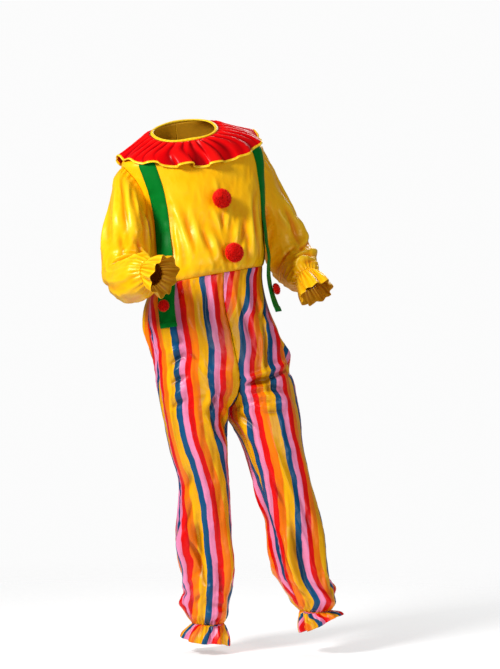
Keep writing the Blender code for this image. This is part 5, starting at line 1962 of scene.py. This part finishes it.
@dataclass(frozen=True)
class Studio:
    """The floor, the lights and the camera of the photograph's view."""

    pixel: float = 0.0029
    width: float = 500.0
    aside: float = 66.0
    down: float = 203.5
    far: float = 6.0
    floor: float = -1.510

    @property
    def axes(self) -> tuple[Vector, Vector, Vector, Vector]:
        """Right, towards the camera and up as the suit is seen, and the point that it looks at."""
        turn = math.radians(-FACING)
        right = Vector((math.cos(turn), math.sin(turn), 0.0))
        up = Vector((0.0, 0.0, 1.0))
        aim = right * (self.aside * self.pixel) - up * (self.down * self.pixel)
        return right, Vector((math.sin(turn), -math.cos(turn), 0.0)), up, aim

    def lamps(self) -> None:
        """The soft square lights. The camera's aim is 0; the last number is how far over it a light aims."""
        right, towards, up, aim = self.axes
        rows = (
            ("Key", 0.8, 134.0, (2.2, -2.1, 1.7), 0.1),
            ("Fill", 1.2, 28.0, (2.6, 2.0, 0.3), 0.0),
            ("Rim", 1.4, 30.0, (-2.2, 0.8, 1.9), 0.0),
        )
        for name, size, watts, (near, aside, high), above in rows:
            data = bpy.data.lights.new(name, "AREA")
            data.size = size
            data.energy = watts
            made = linked(name, data)
            made.location = aim + towards * near + right * aside + up * high
            made.rotation_mode = "QUATERNION"
            made.rotation_quaternion = (aim + up * above - made.location).to_track_quat("-Z", "Y")

    def sky(self, light: float = 0.17, seen: float = 0.97) -> None:
        """White all round, dimmer as light than as a background.

        Args:
            light: its strength on the suit.
            seen: its strength for the camera.
        """
        world = bpy.data.worlds.new("Studio")
        world.use_nodes = True
        nodes, links = world.node_tree.nodes, world.node_tree.links
        soft, plain = nodes["Background"], nodes.new("ShaderNodeBackground")
        for node, strength in ((soft, light), (plain, seen)):
            node.inputs["Color"].default_value = WHITE
            node.inputs["Strength"].default_value = strength
        pick = nodes.new("ShaderNodeMixShader")
        links.new(nodes.new("ShaderNodeLightPath").outputs["Is Camera Ray"], pick.inputs[0])
        links.new(soft.outputs[0], pick.inputs[1])
        links.new(plain.outputs[0], pick.inputs[2])
        links.new(pick.outputs[0], nodes["World Output"].inputs["Surface"])
        bpy.context.scene.world = world

    def camera(self) -> None:
        """The camera, a level one."""
        _, towards, _, aim = self.axes
        camera = bpy.data.cameras.new("Camera")
        camera.sensor_fit = "HORIZONTAL"
        camera.sensor_width = 36.0
        camera.lens = 36.0 * self.far / (self.width * self.pixel)
        camera.clip_end = 60.0
        eye = linked("Camera", camera)
        eye.location = aim + towards * self.far
        eye.rotation_mode = "QUATERNION"
        eye.rotation_quaternion = (-towards).to_track_quat("-Z", "Y")
        bpy.context.scene.camera = eye

    def ground(self) -> None:
        """The floor, which fades into the background."""
        bm = bmesh.new()
        bmesh.ops.create_grid(bm, x_segments=24, y_segments=24, size=9.0)
        bmesh.ops.translate(bm, verts=bm.verts, vec=Vector((0.0, 0.0, self.floor)))
        mesh = finished(bm, "Floor")
        n = Nodes("floor")
        stops = ((0.0, (0.84, 0.84, 0.84, 1.0)), (1.0, (0.88, 0.88, 0.88, 1.0)))
        tone = n.ramp(n.noise(n.place(), 1.5, 2.0), stops)
        far = n.add("ShaderNodeVectorMath", {0: n.place()}, operation="LENGTH").outputs["Value"]
        fade = {0: far, 1: 1.1, 2: 3.0, 3: 1.0, 4: 0.0}
        edge = n.add("ShaderNodeMapRange", fade, interpolation_type="SMOOTHSTEP").outputs[0]
        n.feed(n.shader.inputs["Alpha"], edge)
        mesh.materials.append(n.finish(tone, 0.9, n.bump(n.noise(n.place(), 40.0, 2.0), 0.0005, 0.2),
                                       Emission_Color=WHITE, Emission_Strength=0.38))
        linked("Floor", mesh)

    def build(self) -> None:
        """The whole studio."""
        self.camera()
        self.lamps()
        self.ground()
        self.sky()
        bpy.context.scene.view_settings.view_transform = "Standard"


class Suit:
    """The whole suit: its forms, and the sub-assemblies laid on them."""

    def __init__(self) -> None:
        self.trunk = Trunk(tracks(TRUNK_COLUMNS, TRUNK))
        self.legs = {}
        for side in Side:
            table = LEGS[side.value]
            self.legs[side] = Leg(side, self.trunk, tracks(LEG_COLUMNS, table), table[-1][0])
        self.sleeves = {side: Sleeve.along_table(self.trunk, side) for side in Side}
        self.collar = Collar(self.trunk)
        self.braces = [Brace(side, self.trunk, *STRAPS[side.value]) for side in Side]

    def bindings(self, finishes: Finishes) -> list[Seam]:
        """The strip round the collar's edge, and the band round the neck.

        Args:
            finishes: the materials.

        Returns:
            For each the path of its stitches, and the directions out of it.
        """
        around = np.linspace(-180.0, 180.0, 481)
        one = np.ones_like(around)
        edge = self.collar.cloth(around, one)
        inside = self.collar.cloth(around, one * 0.965)
        out = unit(edge - inside)
        ahead = unit(np.roll(edge[:-1], -1, axis=0) - np.roll(edge[:-1], 1, axis=0))
        ahead = np.concatenate([ahead, ahead[:1]])
        out = unit(out - np.sum(out * ahead, axis=-1, keepdims=True) * ahead)
        face = unit(np.cross(ahead, out))
        path = edge + 0.0020 * out
        strip = Binding("collar_edge_binding", high=0.0068, thick=0.0028, gathers=90, sides=14)
        strip.build(path, face, out, finishes.trim)
        upper = self.trunk.outward(around, self.collar.edge(around))
        upper = face * np.sign(np.sum(face * upper, axis=-1, keepdims=True))
        sewn = [(path - 0.0019 * out + 0.0010 * upper, upper)]
        around = np.linspace(-180.0, 180.0, 289)
        zero = np.zeros_like(around)
        rim = self.trunk.plain(around, zero)
        face = self.trunk.outward(around, zero)
        away = unit(rim - self.trunk.plain(around, zero + 0.004))
        path = rim + 0.0057 * away + 0.0012 * face
        band = Binding("neck_binding", high=0.0095, thick=0.0066, gathers=44, sides=22)
        band.build(path, face, away, finishes.trim)
        sewn.append((path - 0.0026 * away + 0.0024 * face, face))
        return sewn

    def frills(self, finishes: Finishes) -> None:
        """The four frills."""
        for name, row in FRILLS.items():
            place, side = name.split("_frill_")
            tubes = self.sleeves if Cuff(place) is Cuff.WRIST else self.legs
            Frill(name, Cuff(place), tubes[Side(side)], *row).build(finishes)

    def pompoms(self, finishes: Finishes) -> None:
        """Two large ones on the front and a small one near the end of each brace.

        Args:
            finishes: the materials.
        """
        for k, (name, (angle, down)) in enumerate(POMPOMS.items()):
            at = np.array([angle]), np.array([down])
            foot, out = to_part(self.trunk.solid(*at))[0], to_part(self.trunk.outward(*at))[0]
            Pompom(name, 0.0290, 0.0195, 2600, 401 + k).build(foot, out, finishes.yarn)
        for k, brace in enumerate(self.braces):
            foot, out = brace.face(np.array([0.0]), np.array([brace.end - 0.062]))
            made = Pompom(f"brace_pompom_{brace.side.value}", 0.0175, 0.0115, 1300, 411 + k)
            made.build(to_part(foot)[0], to_part(out)[0], finishes.yarn)

    def stitching(self, finishes: Finishes, seams: list[Seam]) -> None:
        """Stitches at the braces' edges, and along the bindings, the waist and the elastics.

        Args:
            finishes: the materials.
            seams: the paths on the bindings, and the directions out of them.
        """
        around = np.linspace(0.0, 360.0, 721)
        forms = [(self.trunk, WAIST - 0.0040)]
        forms += [(sleeve, 0.985) for sleeve in self.sleeves.values()]
        forms += [(leg, leg.end - 0.006) for leg in self.legs.values()]
        for form, place in forms:
            at = np.full_like(around, place)
            seams.append((form.cloth(around, at), form.outward(around, at)))
        Stitching().build("seam_stitches", seams, finishes.yellow_thread, "yellow_binding")
        rows = []
        for brace in self.braces:
            down = np.linspace(0.108, brace.end - 0.004, 400)
            rows += [brace.face(np.full_like(down, share), down) for share in (-0.86, 0.86)]
            share = np.linspace(-0.84, 0.84, 40)
            rows.append(brace.face(share, np.full_like(share, brace.end - 0.013)))
        Stitching().build("brace_stitches", rows, finishes.green_thread, "green_strap")

    def build(self) -> None:
        """Every piece in order."""
        finishes = Finishes.dyed_and_shaded()
        Bodice(self.trunk).build(finishes)
        Trousers(self.legs).build(finishes)
        Sleeves(self.sleeves).build(finishes)
        self.frills(finishes)
        seams = self.bindings(finishes)
        self.collar.build(finishes)
        for brace in self.braces:
            brace.build(finishes)
        self.pompoms(finishes)
        self.stitching(finishes, seams)


def main() -> None:
    """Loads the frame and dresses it."""
    logging.basicConfig(level=logging.INFO)
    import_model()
    Suit().build()
    Studio().build()


if __name__ == "__main__":
    main()
